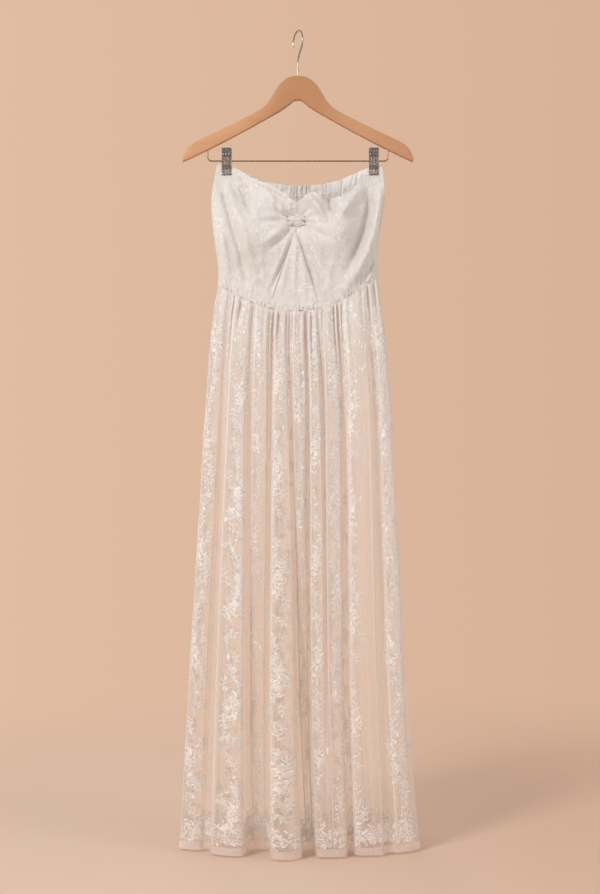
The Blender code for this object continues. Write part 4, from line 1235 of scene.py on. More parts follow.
# %% Wire material and sweep
def make_metal(name, dark, light, roughness, scale=400.0):
    """Plated steel whose tone and gloss change over spots of 1 / scale metres."""
    material, tree, shader = new_material(name, {"Metallic": 1.0})
    place = add_node(tree, "ShaderNodeTexCoord")
    tone_spots_and_glints = add_node(tree, "ShaderNodeTexNoise", {
        "Vector": place.outputs["Object"], "Scale": scale, "Detail": 3.0})
    tone = add_node(tree, "ShaderNodeValToRGB", {"Fac": tone_spots_and_glints.outputs["Fac"]})
    tone.color_ramp.elements[0].position = 0.35
    tone.color_ramp.elements[0].color = linear(dark)
    tone.color_ramp.elements[1].position = 0.65
    tone.color_ramp.elements[1].color = linear(light)
    rough = add_node(tree, "ShaderNodeMapRange", {
        "Value": tone_spots_and_glints.outputs["Fac"], "To Min": roughness - 0.08, "To Max": roughness + 0.08})
    feed(tree, shader, {"Base Color": tone, "Roughness": rough})
    return material


bronzed = make_metal("bronzed_steel_wire", "#8a6a55", "#b0927e", 0.36)
hook_steel = make_metal("nickel_plated_wire", "#8f847c", "#b8aca2", 0.28)
ROUND_END = np.array([
    # in radii: how far past the wire's end, size of the ring there
    (0.50, 0.87), (0.85, 0.50), (0.98, 0.17),
])
NOT_ALONG_A_WIRE = (0.3, 0.9, 0.31)


def swept_tube(points, radius, sides):
    """Rings round a line of points, with small rounded ends."""
    tangents = unit(np.gradient(points, axis=0))
    start, finish = tangents[0], tangents[-1]
    out, size_out = ROUND_END.T
    line = np.concatenate([points[0] - start * radius * out[::-1, None], points,
                           points[-1] + finish * radius * out[:, None]])
    sizes = np.concatenate([size_out[::-1], np.ones(len(points)), size_out])
    ways = [start] * len(out) + list(tangents) + [finish] * len(out)
    across = unit(np.cross(ways[0], NOT_ALONG_A_WIRE))
    turn = np.linspace(0.0, 2 * math.pi, sides, endpoint=False)
    rings = []
    for spot, way, size in zip(line, ways, sizes):
        across = unit(across - way * (across @ way))
        up = np.cross(way, across)
        rings.append(spot + radius * size * (np.cos(turn)[:, None] * across
                                             + np.sin(turn)[:, None] * up))
    return np.array(rings)


def add_wire(name, points, radius, material, replaces, sides=14):
    """A piece of wire along a line of points."""
    rings = swept_tube(points, radius, sides)
    return add_piece(name, rings, loft_faces(*rings.shape[:2]), material, replaces)


# %% [markdown]
# The hook is a question mark that turns on its stem. It stands at an angle, passes in
# front of its rail, over it and down behind.

# %% Hook and bar
WIRE_RADIUS = 0.0016
HOOK_RADIUS = 0.0205
HOOK_TURN = math.radians(26.5)
HOOK_BOW_START, HOOK_BOW_END = math.radians(-32.0), math.radians(196.0)
HOOK_STEM_TOP = -0.059
HOOK_STEM_FOOT = -0.103


def hook_points():
    """The hook's middle line: its stem, the bend out of it, and the bow round the rail."""
    start = HOOK_BOW_START
    centre = np.array([0.0, WIRE_RADIUS - HOOK_RADIUS])
    first = centre + HOOK_RADIUS * np.array([math.cos(start), math.sin(start)])
    leaving = np.array([math.sin(start), -math.cos(start)])
    foot = np.array([0.0, HOOK_STEM_TOP])
    handles = foot + (0.0, 0.013), first + leaving * 0.012
    t = np.linspace(0.0, 1.0, 24, endpoint=False)[:, None]
    stem = np.stack([np.zeros(6), np.linspace(HOOK_STEM_FOOT, HOOK_STEM_TOP, 6, False)], axis=1)
    bend = (foot * (1 - t)**3 + handles[0] * 3 * t * (1 - t)**2
            + handles[1] * 3 * t**2 * (1 - t) + first * t**3)
    angles = np.linspace(start, HOOK_BOW_END, 64)
    bow = centre + HOOK_RADIUS * np.stack([np.cos(angles), np.sin(angles)], axis=1)
    flat = np.concatenate([stem, bend, bow])
    return np.stack([flat[:, 0] * math.sin(HOOK_TURN), -flat[:, 0] * math.cos(HOOK_TURN),
                     flat[:, 1]], axis=1)


add_wire("hanger_hook_wire", hook_points(), WIRE_RADIUS, hook_steel, ["hanger_hook"])

BAR_RADIUS = 0.0014
BAR_Z = -0.247
BAR_HALF = 0.172
BAR_END_Z = -0.214


def bar_points(corner=0.007):
    """The bar's middle line, bent up at both ends into the wood."""
    turn = np.radians(np.linspace(180.0, 270.0, 12))
    left = np.stack([-BAR_HALF + corner + corner * np.cos(turn), 0.0 * turn,
                     BAR_Z + corner + corner * np.sin(turn)], axis=1)
    end = np.array([[-BAR_HALF, 0.0, BAR_END_Z]])
    straight = np.linspace(-BAR_HALF + corner, BAR_HALF - corner, 30)[1:-1]
    middle = np.stack([straight, 0.0 * straight, 0.0 * straight + BAR_Z], axis=1)
    return np.concatenate([end, left, middle, left[::-1] * (-1, 1, 1), end * (-1, 1, 1)])


add_wire("clip_bar_wire", bar_points(), BAR_RADIUS, bronzed, ["clip_bar"])

# %% [markdown]
# ## Spring clips
# Each clip is a pair of pressed steel jaws on the bar, with a spring coiled round the
# bar between them. Pressing leaves three upright ribs for stiffness, a rolled edge, and
# a cross bead at the bar. The plate is a grid whose outer face is raised by those
# features; its side view is the short table of stations. The steel is plated black, and
# spots about a millimetre wide are painted in a light tone, as painted glints.

# %% Clip jaws and springs
CLIP_TOP = -0.223
CLIP_PLATE = 0.0013
CLOTH_GRIP = 0.00185
RIBS = (-0.60, 0.0, 0.60)
SPRING_WIRE = 0.0007
JAW_STATIONS = np.array([
    # distance from the middle, level
    (0.0084, CLIP_TOP), (0.0081, CLIP_TOP - 0.002), (0.0048, BAR_Z + 0.007),
    (0.0042, BAR_Z), (0.0036, BAR_Z - 0.008), (CLOTH_GRIP, CLIP_FOOT + 0.011),
    (CLOTH_GRIP, CLIP_FOOT + 0.0015), (CLOTH_GRIP, CLIP_FOOT),
])
# The light tone of the black steel's spots is painted glint.
plated = make_metal("black_plated_steel", "#302622", "#b8a79d", 0.29, scale=900.0)


def add_jaw(name, clip_x, side, replaces, columns=44, rows=64):
    """One jaw. Its a counts across the plate, from -1 to 1."""
    a = np.linspace(-1.0, 1.0, columns + 1)
    level = np.linspace(CLIP_TOP, CLIP_FOOT, rows + 1)[:, None]
    base = np.interp(level, JAW_STATIONS[::-1, 1], JAW_STATIONS[::-1, 0])
    x = clip_x + 0.5 * CLIP_WIDTH * a + 0.0 * level
    ribs = sum(ease(0.17, 0.11, np.abs(a - middle)) for middle in RIBS)
    upright = ribs * ease(0.002, 0.005, CLIP_TOP - level) * ease(0.001, 0.004, level - CLIP_FOOT)
    bead = bell(level - (BAR_Z + 0.0105), 0.0013) * ease(1.0, 0.9, np.abs(a))
    gap = 1.0 - 0.9 * bell(level - (BAR_Z + 0.0135), 0.0009)
    rolled = bell(level - (CLIP_TOP - 0.0012), 0.0012) + bell(level - (CLIP_FOOT + 0.001), 0.0012)
    raised = 0.0006 * np.clip(upright * gap + 0.9 * bead + 0.7 * rolled, 0.0, 1.0)
    edge = 0.0005 * ease(0.93, 1.0, np.abs(a))
    outer = np.stack([x, side * (base + CLIP_PLATE + raised - edge), 0.0 * a + level], axis=-1)
    inner = np.stack([x, side * (base + 0.0 * x), 0.0 * a + level], axis=-1)
    faces = closed_wall(*outer.shape[:2], outward=side == BACK)
    return add_piece(name, np.concatenate([outer.reshape(-1, 3), inner.reshape(-1, 3)]), faces,
                     plated, replaces, sharp=45.0)


def spring_points(clip_x, turns=6.5, radius=0.0027, half=0.0050):
    """Middle line of a spring coiled round the bar."""
    turn = np.linspace(0.0, 2 * math.pi * turns, int(turns * 18))
    return np.stack([clip_x + np.linspace(-half, half, len(turn)), radius * np.cos(turn),
                     BAR_Z + radius * np.sin(turn)], axis=1)


for hand, clip_x in zip(("left", "right"), CLIP_X):
    for side, face in ((FRONT, "front"), (BACK, "back")):
        node = f"clip_{hand}_{face}_jaw"
        add_jaw(node + "_pressed", clip_x, side, [node])
    add_wire(f"clip_{hand}_spring_coil", spring_points(clip_x), SPRING_WIRE, plated,
             [f"clip_{hand}_spring"], sides=8)

# %% [markdown]
# ## Lace figures: leaves, flowers and sprays
# Lace carries its pattern in lengthwise bands. Here two wavering cords join thick clumps
# of small flowers, and sprays of narrow leaves stand out from each clump and follow the
# cords between them. It is a common floral lace, drawn from scratch here. Each figure is
# a ribbon: a line of points on the flat cloth with a width at each. Its middle is domed
# by the thickness of the yarn, and its underside closes it, so every leaf is a small
# solid. The open slits between petals matter as much as the petals, because they keep a
# clump from melting into a white disc.

# %% Figures on flat cloth
YARN_RISE = 0.0007
CLEAR_OF_NET = 0.00005


def ribbon(points, widths):
    """Stations of a ribbon: its left edge, domed middle and right edge, as s, t, height."""
    widths = widths[:, None]
    ways = unit(np.gradient(points, axis=0))
    aside = np.stack([-ways[:, 1], ways[:, 0]], axis=1) * 0.5 * widths
    low = np.full((len(points), 1), CLEAR_OF_NET)
    top = CLEAR_OF_NET + YARN_RISE * np.minimum(widths / widths.max() + 0.2, 1.0)
    return np.stack([np.concatenate([points - aside, low], axis=1),
                     np.concatenate([points, top], axis=1),
                     np.concatenate([points + aside, low], axis=1)], axis=1)


def curved_line(root, ways, length):
    """Points that start at the root and take one even step in each later direction."""
    steps = np.stack([np.cos(ways), np.sin(ways)], axis=1) * length / (len(ways) - 1)
    return np.asarray(root) + np.concatenate([[[0.0, 0.0]], np.cumsum(steps[1:], axis=0)])


def leaf(root, angle, length, width, curl, stations=5):
    """A narrow leaf, fullest just before its middle, that curls from end to end."""
    t = np.linspace(0.0, 1.0, stations)
    line = curved_line(root, angle + curl * (t - 0.5), length)
    return ribbon(line, width * (0.12 + np.sin(math.pi * t**0.8) ** 0.9) / 1.12)


def flower(middle, radius, petals, turn):
    """Narrow petals with open slits between them, uneven in length."""
    shapes = []
    t = np.linspace(0.0, 1.0, 4)
    fullness = np.array([0.35, 0.95, 1.0, 0.3]) * 0.68
    for k in range(petals):
        angle = turn + 2 * math.pi * k / petals
        way = np.array([math.cos(angle), math.sin(angle)])
        reach = radius * (1.0 + 0.16 * math.sin(2.3 * k + 5.0 * turn))
        line = np.asarray(middle) + way * mix(0.18, 1.0, t)[:, None] * reach
        shapes.append(ribbon(line, fullness * 2 * math.pi * 0.6 * radius / petals))
    return shapes


def spray(root, angle, length, leaves, bend):
    """A curved twig with leaves to both sides and one at its tip."""
    t = np.linspace(0.0, 1.0, 6)
    line = curved_line(root, angle + bend * t, length)
    shapes = [ribbon(line, np.linspace(0.0018, 0.0010, len(t)))]
    for k in range(leaves):
        at = (k + 0.8) / (leaves + 0.3)
        spot = line[0] + [np.interp(at, t, line[:, j] - line[0, j]) for j in (0, 1)]
        side = 1.0 if k % 2 else -1.0
        shapes.append(leaf(spot, angle + bend * at + side * 0.85, 0.30 * length + 0.003,
                           0.0029, -0.5 * side, 4))
    shapes.append(leaf(line[-1], angle + bend, 0.26 * length + 0.003, 0.0029, 0.2, 4))
    return shapes


def open_flower(middle, radius, petals, turn, yarn=0.0013):
    """Petals drawn as outlines, as in the border above a lace hem."""
    shapes = []
    t = np.linspace(0.0, 1.0, 9)
    for k in range(petals):
        angle = turn + 2 * math.pi * k / petals
        bend = angle + 0.62 * math.pi / petals * np.sin(2 * math.pi * t)
        reach = radius * (0.30 + 0.70 * np.sin(math.pi * t) ** 0.7)
        line = np.asarray(middle) + reach[:, None] * np.stack([np.cos(bend), np.sin(bend)], axis=1)
        shapes.append(ribbon(line, np.full(len(t), yarn)))
    return shapes + flower(middle, 0.36 * radius, 5, turn)


print("ribbons in a spray of five leaves:", len(spray((0.0, 0.0), 1.0, 0.022, 5, 0.6)))

# %% [markdown]
# One repeat of the band is 190 mm long, with a large clump in its middle. Two scalloped
# cords run along the whole band; they part round each clump and close up after it, so
# the band never breaks. Neighbouring bands start at different heights and are mirrored,
# as lace charts do to keep the cloth from forming stripes. `lush` thins out or fills a
# band, and `sow` fills the same places with the small marks of the cloth's material.
# A border of open flowers, 38 mm apart, runs along the hem.

# %% Band of figures
REPEAT = 0.190
BORDER_PITCH = 0.038
BORDER_LEVEL = 0.020
CLUMP = (
    # flowers of the clump: x, y, radius, petals
    (0.001, 0.004, 0.0060, 6), (-0.009, 0.020, 0.0048, 5), (0.009, -0.012, 0.0052, 6),
    (-0.007, -0.027, 0.0045, 5), (0.006, 0.036, 0.0042, 5), (0.012, 0.019, 0.0040, 5),
)
SPRAYS = (
    # x, y from the clump's middle, angle in degrees, length, leaves, bend
    (0.010, 0.026, 64, 0.022, 5, 0.6), (-0.011, 0.022, 118, 0.019, 4, -0.6),
    (0.011, -0.022, -58, 0.019, 4, -0.6), (-0.010, -0.026, -120, 0.022, 5, 0.6),
    (0.002, 0.052, 108, 0.022, 5, -0.7), (-0.002, -0.052, -74, 0.022, 5, 0.7),
    (0.004, 0.074, 70, 0.016, 4, 0.8), (-0.003, -0.076, -104, 0.016, 4, -0.8),
)


def sway(y):
    """How far a band wavers aside, at a height above the middle of its repeat."""
    return 0.006 * np.sin(2 * math.pi * y / REPEAT + 0.6)


def clump_rise(number):
    """How far the clump of a repeat lies above its middle."""
    return 0.010 * math.sin(1.7 * number)


def band_repeat(s0, t0, hand, lush, number):
    """One repeat of the band from t0 up, about s0."""
    middle_x = 0.004 * math.sin(3.1 * number)
    middle_y = 0.5 * REPEAT + clump_rise(number)

    def place(x, y):
        """A place given from the clump's middle."""
        return (s0 + hand * (middle_x + x), t0 + middle_y + y)

    def aim(degrees):
        """An angle, mirrored as its band is."""
        return math.radians(degrees if hand > 0 else 180.0 - degrees)

    shapes = []
    y = np.linspace(-0.5, 0.5, 48) * REPEAT
    for side in (-1.0, 1.0):
        spread = 0.0028 + 0.0085 * lush * bell(y - 0.006 * side, 0.036)
        scallop = 0.0022 * np.sin(2 * math.pi * y / 0.0125 + 2.0 * side + number)
        x = s0 + hand * (middle_x * bell(y, 0.05) + sway(y) + side * spread + scallop)
        shapes.append(ribbon(np.stack([x, t0 + 0.5 * REPEAT + y], axis=1),
                             0.0013 + 0.0005 * np.sin(y / 0.0052 + side)))
    for k, (x, y0, radius, petals) in enumerate(CLUMP[:max(2, int(round(lush * len(CLUMP))))]):
        shapes += flower(place(x, y0), radius, petals, 0.9 * k + 0.7 * number)
        if k % 2 == number % 2:
            side = 1.0 if x > 0 else -1.0
            shapes.append(leaf(place(x + 0.6 * side * radius, y0),
                               aim(90.0 - side * (70.0 + 25.0 * math.sin(3.0 * k))),
                               0.0085, 0.0030, 0.5, 4))
    for k, (x, y0, degrees, length, leaves, bend) in enumerate(SPRAYS):
        if (k + number) % 3 == 0 and lush < 0.9:
            continue
        size = 0.95 + 0.15 * math.sin(1.9 * k + number)
        shapes += spray(place(x * size, y0 * size),
                        aim(degrees + 9.0 * math.sin(2.7 * number + k)), length * size,
                        leaves, bend * hand)
    return shapes


def band_plan(places, t_low, t_high):
    """Each repeat of the bands at the given (s, lush) places: s, t, hand, lush, number."""
    plan = []
    for k, (s0, lush) in enumerate(places):
        t0 = t_low - REPEAT * ((0.37 * k) % 1.0)
        number = 3 * k
        while t0 < t_high:
            plan.append((s0, t0, 1 if k % 2 else -1, lush, number))
            t0 += REPEAT
            number += 1
    return plan


def bands(plan, t_low, t_high):
    """The figures of a plan, without what would cross the limits."""
    shapes = [shape for repeat in plan for shape in band_repeat(*repeat)]
    return [s for s in shapes if s[:, :, 1].min() > t_low and s[:, :, 1].max() < t_high]


def sow(cloth, plan):
    """How thickly small marks lie at each point of a cloth's grid."""
    s, t = np.meshgrid(cloth["s"], cloth["t"])
    share = np.zeros(s.shape)
    for s0, t0, hand, lush, number in plan:
        y = t - t0 - 0.5 * REPEAT
        x = hand * (s - s0) - sway(y)
        width = 0.0095 + 0.0035 * np.sin(y / 0.011 + 2.0 * number)
        clump = 0.85 * bell(x, width) * bell(y - clump_rise(number), 0.034)
        stem = 0.28 * bell(x, 0.0050) * (np.abs(y) < 0.5 * REPEAT)
        share = np.maximum(share, lush * np.maximum(clump, stem))
    return share


def sow_border(cloth):
    """A scalloped border of small marks above the hem."""
    s, t = np.meshgrid(cloth["s"], cloth["t"])
    top = 0.012 + 0.006 * np.cos(2 * math.pi * s / BORDER_PITCH)
    return 0.62 * (1.0 - ease(0.6, 1.3, np.abs(t - BORDER_LEVEL) / top))


def hem_border(s_low, s_high):
    """Open flowers along the hem, with small ones and pairs of leaves between them."""
    shapes = []
    count = int((s_high - s_low) / BORDER_PITCH)
    for k in range(count):
        s0 = s_low + (k + 0.5) * (s_high - s_low) / count
        between = s0 + 0.5 * BORDER_PITCH
        lift = 0.002 * math.sin(2.3 * k)
        radius = 0.0140 + 0.0015 * math.sin(1.7 * k)
        shapes += open_flower((s0, BORDER_LEVEL + lift), radius, 7, 0.3 * k)
        shapes += flower((between, BORDER_LEVEL - 0.006 - lift), 0.0060, 5, 0.5 * k)
        for side in (-1.0, 1.0):
            shapes.append(leaf((between + 0.002 * side, BORDER_LEVEL + 0.003),
                               math.radians(90.0 - 38.0 * side), 0.0150, 0.0042, -0.4 * side))
            shapes.append(leaf((s0 + 0.004 * side, BORDER_LEVEL + 0.015 + lift),
                               math.radians(90.0 - 50.0 * side), 0.0120, 0.0038, 0.4 * side))
    return shapes


print("ribbons in one full repeat:", len(band_repeat(0.0, 0.0, 1, 1.0, 0)))

# %% [markdown]
# ## Laying the figures on the hanging cloth
# Each vertex has a place on the flat cloth. `lay_figures` finds the grid cell that holds
# that place, slides to the same share of the cell on the hanging surface, and moves out
# along the surface's normal by the vertex's height. So the figures bend over the folds
# and crowd together in the gathers just as knitted ones do. `write_number` gives the
# cloth's own vertices the numbers that its material reads.

# %% Lay figures on cloth
SIDE_MARGIN = 0.002


def write_number(piece, name, values):
    """Writes a number for each grid point onto the outer and the inner wall of a cloth."""
    numbers = piece.data.attributes.new(name, "FLOAT", "POINT")
    numbers.data.foreach_set("value", np.tile(values.ravel(), 2).astype(np.float32))


def on_cloth(cloth, flat):
    """Places on the hanging cloth of points given as s, t and height."""
    rows, columns = cloth["outer"].shape[:2]
    c = np.interp(flat[:, 0], cloth["s"], np.arange(columns))
    r = np.interp(flat[:, 1], cloth["t"], np.arange(rows))
    i = np.minimum(c.astype(int), columns - 2)
    j = np.minimum(r.astype(int), rows - 2)
    a, b = (c - i)[:, None], (r - j)[:, None]
    found = []
    for layer in (cloth["outer"], cloth["normals"]):
        found.append(mix(mix(layer[j, i], layer[j, i + 1], a),
                         mix(layer[j + 1, i], layer[j + 1, i + 1], a), b))
    return found[0] + unit(found[1]) * flat[:, 2:3]


def lay_figures(name, cloth, shapes, material):
    """One piece of all the ribbons that fit on a cloth, each closed at both ends."""
    s_low, s_high = cloth["s"][0] + SIDE_MARGIN, cloth["s"][-1] - SIDE_MARGIN
    shapes = [s for s in shapes if s[:, :, 0].min() > s_low and s[:, :, 0].max() < s_high]
    faces, ends, first = [], [], 0
    for shape in shapes:
        last = first + 3 * (len(shape) - 1)
        here = np.arange(first, last, 3)
        for a, b in ((0, 1), (1, 2), (2, 0)):
            faces.append(np.stack([here + a, here + b, here + 3 + b, here + 3 + a], axis=1))
        ends += [(first + 2, first + 1, first), (last, last + 1, last + 2)]
        first = last + 3
    print(f"{name}: {len(shapes)} petals, leaves and cords")
    flat = np.concatenate([shape.reshape(-1, 3) for shape in shapes])
    quads = np.concatenate(faces)
    placed = on_cloth(cloth, flat)
    probe = placed[quads[0]]
    way = np.cross(probe[1] - probe[0], probe[3] - probe[0])
    if (way @ unit(placed[1] - 0.5 * (placed[0] + placed[2]))) < 0.0:
        quads = quads[:, ::-1]
        ends = [end[::-1] for end in ends]
    return add_piece(name, placed, quads.tolist() + ends, material, uv=flat[:, :2],
                     sharp=75.0)


# %% [markdown]
# The skirt's bands are placed by fold, so that most of them run down the broad faces of
# the tubes and only a few thin ones hide in the hollows. Under the waist the gathers
# crowd the marks together, so more of them are sown there. The meshes are pushed shut
# towards the waist. Along both shoulders of a fold, most of all the left one, which faces
# the key light, the net is closed as a painted highlight, a bright line down the fold.

# %% Figures on the skirt
SKIRT_BANDS = {
    # place counted in folds, how lush
    FRONT: ((0.50, 0.9), (1.56, 1.0), (2.42, 0.5), (3.30, 1.0), (4.45, 0.4), (5.45, 0.7),
            (6.62, 0.5), (7.24, 0.9), (8.38, 0.8)),
    BACK: ((0.50, 0.9), (1.45, 1.0), (3.45, 0.9), (4.50, 0.5), (5.50, 0.9), (7.50, 0.9)),
}
ABOVE_BORDER = 0.044
BELOW_WAIST = 0.006
BORDER_MARGIN = 0.004
LEFT_SHOULDER, RIGHT_SHOULDER = 0.275, 0.77


def skirt_crowding_and_highlight(folds, up):
    """How far the meshes are pushed shut by the waist, plus the painted highlight on the
    shoulders.
    """
    part = folds % 1.0
    by_waist = 0.20 * ease(0.55, 0.90, up) + 0.48 * ease(0.85, 0.99, up)
    # Painted highlight: closed net along both shoulders, most on the left one, which faces the
    # light.
    left_shoulder_highlight = 0.75 * bell(part - LEFT_SHOULDER, 0.032)
    right_shoulder_highlight = mix(0.34, 0.15, ease(0.45, 0.85, up)) * bell(part - RIGHT_SHOULDER, 0.03)
    return by_waist + left_shoulder_highlight + right_shoulder_highlight


for side in (FRONT, BACK):
    cloth = skirt[side]["cloth"]
    width, length = cloth["s"][-1], cloth["t"][-1]
    folds = np.linspace(0.0, len(FOLDS[side]), len(cloth["s"]))
    up = (cloth["t"] / length)[:, None]
    places = [(np.interp(place, folds, cloth["s"]), lush) for place, lush in SKIRT_BANDS[side]]
    plan = band_plan(places, ABOVE_BORDER, length - BELOW_WAIST)
    shapes = bands(plan, ABOVE_BORDER, length - BELOW_WAIST)
    shapes += hem_border(BORDER_MARGIN, width - BORDER_MARGIN)
    gathered = 0.12 * ease(0.74, 0.98, up)
    write_number(skirt[side]["piece"], "lace_share",
                 np.maximum(sow(cloth, plan) + gathered, sow_border(cloth)))
    write_number(skirt[side]["piece"], "crowding_and_painted_highlight", skirt_crowding_and_highlight(folds, up))
    skirt[side]["figures"] = lay_figures("skirt_" + SKIRT_NAME[side] + "_figures", cloth,
                                         shapes, clothwork)

# %% [markdown]
# On the bodice the same figures lie over the lining, tone on tone, and closer together.
# Only the raised figures are thinned out here; the small marks are sown in full.

# %% Figures on the bodice
BODICE_BANDS = {"left": 0.058, "right": 0.058, "inset": 0.047, "back": 0.060}
BODICE_LUSH = 0.5
BODICE_MARGIN = 0.004
for name, spacing in BODICE_BANDS.items():
    piece, cloth, area = bodice[name]
    low, high = BODICE_MARGIN, cloth["t"][-1] - BODICE_MARGIN
    middles = np.arange(0.45 * spacing, cloth["s"][-1], spacing)
    shapes = bands(band_plan([(s0, BODICE_LUSH) for s0 in middles], low, high), low, high)
    marks = sow(cloth, band_plan([(s0, 1.0) for s0 in middles], low, high))
    write_number(piece, "lace_share", 0.12 + 0.9 * marks)
    figures = lay_figures(f"bodice_{name}_figures", cloth, shapes, lined_clothwork)
    bodice[name] = (piece, cloth, area, figures)

# %% [markdown]
# ## What each cloth piece was cut to
# `CUT` gives width, length and, where a piece isn't a rectangle, the area of its true
# shape: the skirt panels and the back are trapezoids, the inset is nearly a triangle,
# and a cup is a quarter round.

CUT = {
    # cut piece: width, length, area, how it is held, what holds it
    "left": (0.24, 0.25, 0.041, "hung", ("clip_left_front_jaw_pressed",)),
    "right": (0.24, 0.25, 0.041, "hung", ("clip_right_front_jaw_pressed",)),
    "inset": (0.10, 0.16, 0.0080, "hung", ("bodice_left_cup", "bodice_right_cup")),
    "back": (0.37, 0.20, 0.066, "hung", ("back_shirred_band",)),
    "elastic": (0.38, 0.022, None, "gathered",
                ("clip_left_back_jaw_pressed", "clip_right_back_jaw_pressed")),
    "tab": (0.036, 0.026, None, "folded", ("bodice_left_cup", "bodice_right_cup")),
    "waist_seam_front": (0.42, 0.010, 0.0034, "gathered", ("bodice_left_cup", "bodice_right_cup")),
    "waist_seam_back": (0.40, 0.010, 0.0032, "gathered", ("bodice_back_lace",)),
}
for name, (width, length, area, held, holders) in CUT.items():
    piece, figures = bodice[name][0], list(bodice[name][3:])
    print(f"{piece.name}: cut {width} x {length} m, hangs with {bodice[name][2]:.4f} m2")

SKIRT_CUT = {FRONT: (0.84, 1.03, 0.74), BACK: (0.79, 1.05, 0.69)}
for side in (FRONT, BACK):
    width, length, area = SKIRT_CUT[side]

# %% [markdown]
# ## Camera, light and floor
# The camera stands three metres in front, level with the middle of the whole gown.

# %% Camera
camera_data = bpy.data.cameras.new("camera")
camera_data.lens = 63.25
camera = bpy.data.objects.new("camera", camera_data)
camera.location = (0.004, -3.0, -0.793)
camera.rotation_euler = (math.radians(90.0), 0.0, 0.0)
bpy.context.scene.collection.objects.link(camera)
bpy.context.scene.camera = camera
print("camera:", camera_data.lens, "mm lens, 3 m away")

# %% [markdown]
# A large soft lamp high on the left front lights the gown as a studio window would. A
# weaker one at the right grazes the sides of the folds, a warm one behind shines through
# the veil, and the sky of the scene gives a soft glow, tinted by the warm paper behind
# and below and stronger from the white walls at both sides, most of all the left one.
# The camera itself sees plain paper instead, with painted shade that makes it a little darker to
# the right.

# %% Lamps and background
def add_lamp(name, place, target, size, power, colour):
    """A square lamp of that size in metres and power in watts, aimed at the target."""
    data = bpy.data.lights.new(name, "AREA")
    data.size = size
    data.energy = power
    data.color = linear(colour)[:3]
    lamp = bpy.data.objects.new(name, data)
    lamp.location = place
    way = np.array(target) - np.array(place)
    lamp.rotation_euler = (
        math.atan2(math.hypot(way[0], way[1]), -way[2]), 0.0, math.atan2(-way[0], way[1]))
    bpy.context.scene.collection.objects.link(lamp)
    print(f"lamp {name}: {power} W")


add_lamp("key", (-2.1, -2.8, 1.1), (0.0, 0.0, -0.8), 0.9, 84.0, "#fdfdff")
add_lamp("side", (2.8, -1.7, 0.2), (0.0, 0.0, -0.6), 1.2, 22.0, "#fdfdff")
add_lamp("behind", (-0.6, 3.0, 0.4), (0.0, 0.0, -0.8), 1.6, 18.0, "#ffe7d6")

world = bpy.data.worlds.new("studio")
world.use_nodes = True
bpy.context.scene.world = world
sky = world.node_tree
sky.nodes.clear()
way = add_node(sky, "ShaderNodeTexCoord")
parts = add_node(sky, "ShaderNodeSeparateXYZ", {"Vector": way.outputs["Generated"]})
# Painted shade: the paper that the camera sees turns a little darker to the right.
falling = add_node(sky, "ShaderNodeMapRange", {
    "Value": parts.outputs["X"], "From Min": -0.20, "From Max": 0.20})
paper = add_node(sky, "ShaderNodeMix", {
    "Factor": falling, "A": linear("#e1bda2"), "B": linear("#d7b298")}, data_type="RGBA")
seen = add_node(sky, "ShaderNodeBackground", {"Color": paper, "Strength": 1.0})
behind = add_node(sky, "ShaderNodeVectorMath", {
    0: way.outputs["Generated"], 1: (0.0, 0.8, -0.6)}, operation="DOT_PRODUCT")
turned = add_node(sky, "ShaderNodeMapRange", {
    "Value": behind.outputs["Value"], "From Min": -0.5, "From Max": 0.8})
tint = add_node(sky, "ShaderNodeMix", {
    "Factor": turned, "A": linear("#f4f3f3"), "B": linear("#efd6c4")}, data_type="RGBA")
aside = add_node(sky, "ShaderNodeMath", {0: parts.outputs["X"]}, operation="ABSOLUTE")
wall = add_node(sky, "ShaderNodeMapRange", {
    "Value": parts.outputs["X"], "From Min": -0.1, "From Max": 0.1,
    "To Min": 0.99, "To Max": 0.80})
power = add_node(sky, "ShaderNodeMapRange", {
    "Value": aside, "From Min": 0.1, "From Max": 0.9, "To Min": 0.55, "To Max": wall})
glow = add_node(sky, "ShaderNodeBackground", {"Color": tint, "Strength": power})
rays = add_node(sky, "ShaderNodeLightPath")
both = add_node(sky, "ShaderNodeMixShader", {
    "Fac": rays.outputs["Is Camera Ray"], 1: glow, 2: seen})
add_node(sky, "ShaderNodeOutputWorld", {"Surface": both})

# %% [markdown]
# The floor is a wide disc of pale, matt studio paper. It thins away with distance, so
# no horizon cuts across the background.

# %% Floor
FLOOR_RINGS = (0.4, 0.8, 1.3, 2.0, 3.0, 4.5, 7.0)
FLOOR_SIDES = 64
FLOOR_DROP = 0.005


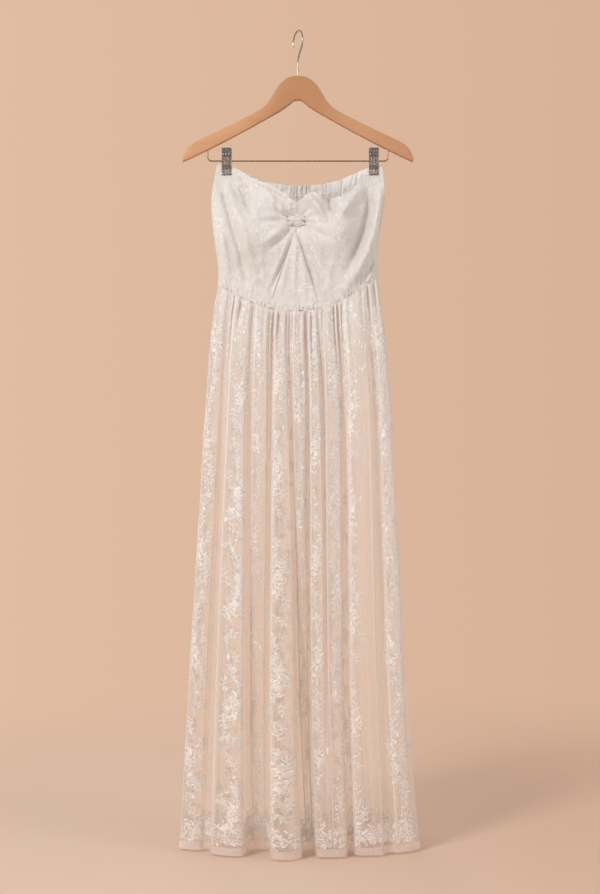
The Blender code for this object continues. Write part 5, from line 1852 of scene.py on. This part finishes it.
def floor_mesh():
    """A disc of rings round its middle point."""
    turn = np.linspace(0.0, 2 * math.pi, FLOOR_SIDES, endpoint=False)
    points = [(0.0, 0.0, 0.0)]
    faces = []
    for k, radius in enumerate(FLOOR_RINGS):
        points += [(radius * math.cos(a), radius * math.sin(a), 0.0) for a in turn]
        there = 1 + FLOOR_SIDES * k
        here = there - FLOOR_SIDES
        for i in range(FLOOR_SIDES):
            j = (i + 1) % FLOOR_SIDES
            faces.append((here + i, there + i, there + j, here + j) if k else
                         (0, there + i, there + j))
    mesh = bpy.data.meshes.new("floor")
    mesh.from_pydata(points, [], faces)
    return mesh


def make_floor():
    """The floor: painted shade makes it a little darker to the right, and it fades out with
    distance.
    """
    material, tree, shader = new_material("matt_studio_paper", {
        "Roughness": 0.95, "Specular IOR Level": 0.1})
    place = add_node(tree, "ShaderNodeTexCoord")
    parts = add_node(tree, "ShaderNodeSeparateXYZ", {"Vector": place.outputs["Object"]})
    # Painted shade: the paper turns a little darker towards the right.
    falling = add_node(tree, "ShaderNodeMapRange", {
        "Value": parts.outputs["X"], "From Min": 0.0, "From Max": 0.5})
    colour = add_node(tree, "ShaderNodeMix", {
        "Factor": falling, "A": linear("#dabfab"), "B": linear("#d5b59e")}, data_type="RGBA")
    far = add_node(tree, "ShaderNodeVectorMath", {0: place.outputs["Object"]},
                   operation="LENGTH")
    fade = add_node(tree, "ShaderNodeMapRange", {
        "Value": far.outputs["Value"], "From Min": 0.5, "From Max": 2.2,
        "To Min": 1.0, "To Max": 0.0}, interpolation_type="SMOOTHSTEP")
    feed(tree, shader, {"Base Color": colour, "Alpha": fade})
    mesh = floor_mesh()
    mesh.materials.append(material)
    floor = bpy.data.objects.new("floor", mesh)
    floor.location = (0.0, 0.0, HEM_Z - FLOOR_DROP)
    bpy.context.scene.collection.objects.link(floor)
    floor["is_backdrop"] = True


make_floor()

# %% [markdown]
# ## Finish
# The plain colour transform keeps a paint chart's colours as they are. A ray that goes
# through the gown passes many open meshes, so 40 of them may be transparent before it
# stops. The last lines print the size of the whole.

# %% Finish
scene = bpy.context.scene
scene.view_settings.view_transform = "Standard"
scene.cycles.transparent_max_bounces = 40
low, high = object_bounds()
print("size:", [round(b - a, 4) for a, b in zip(low, high)])
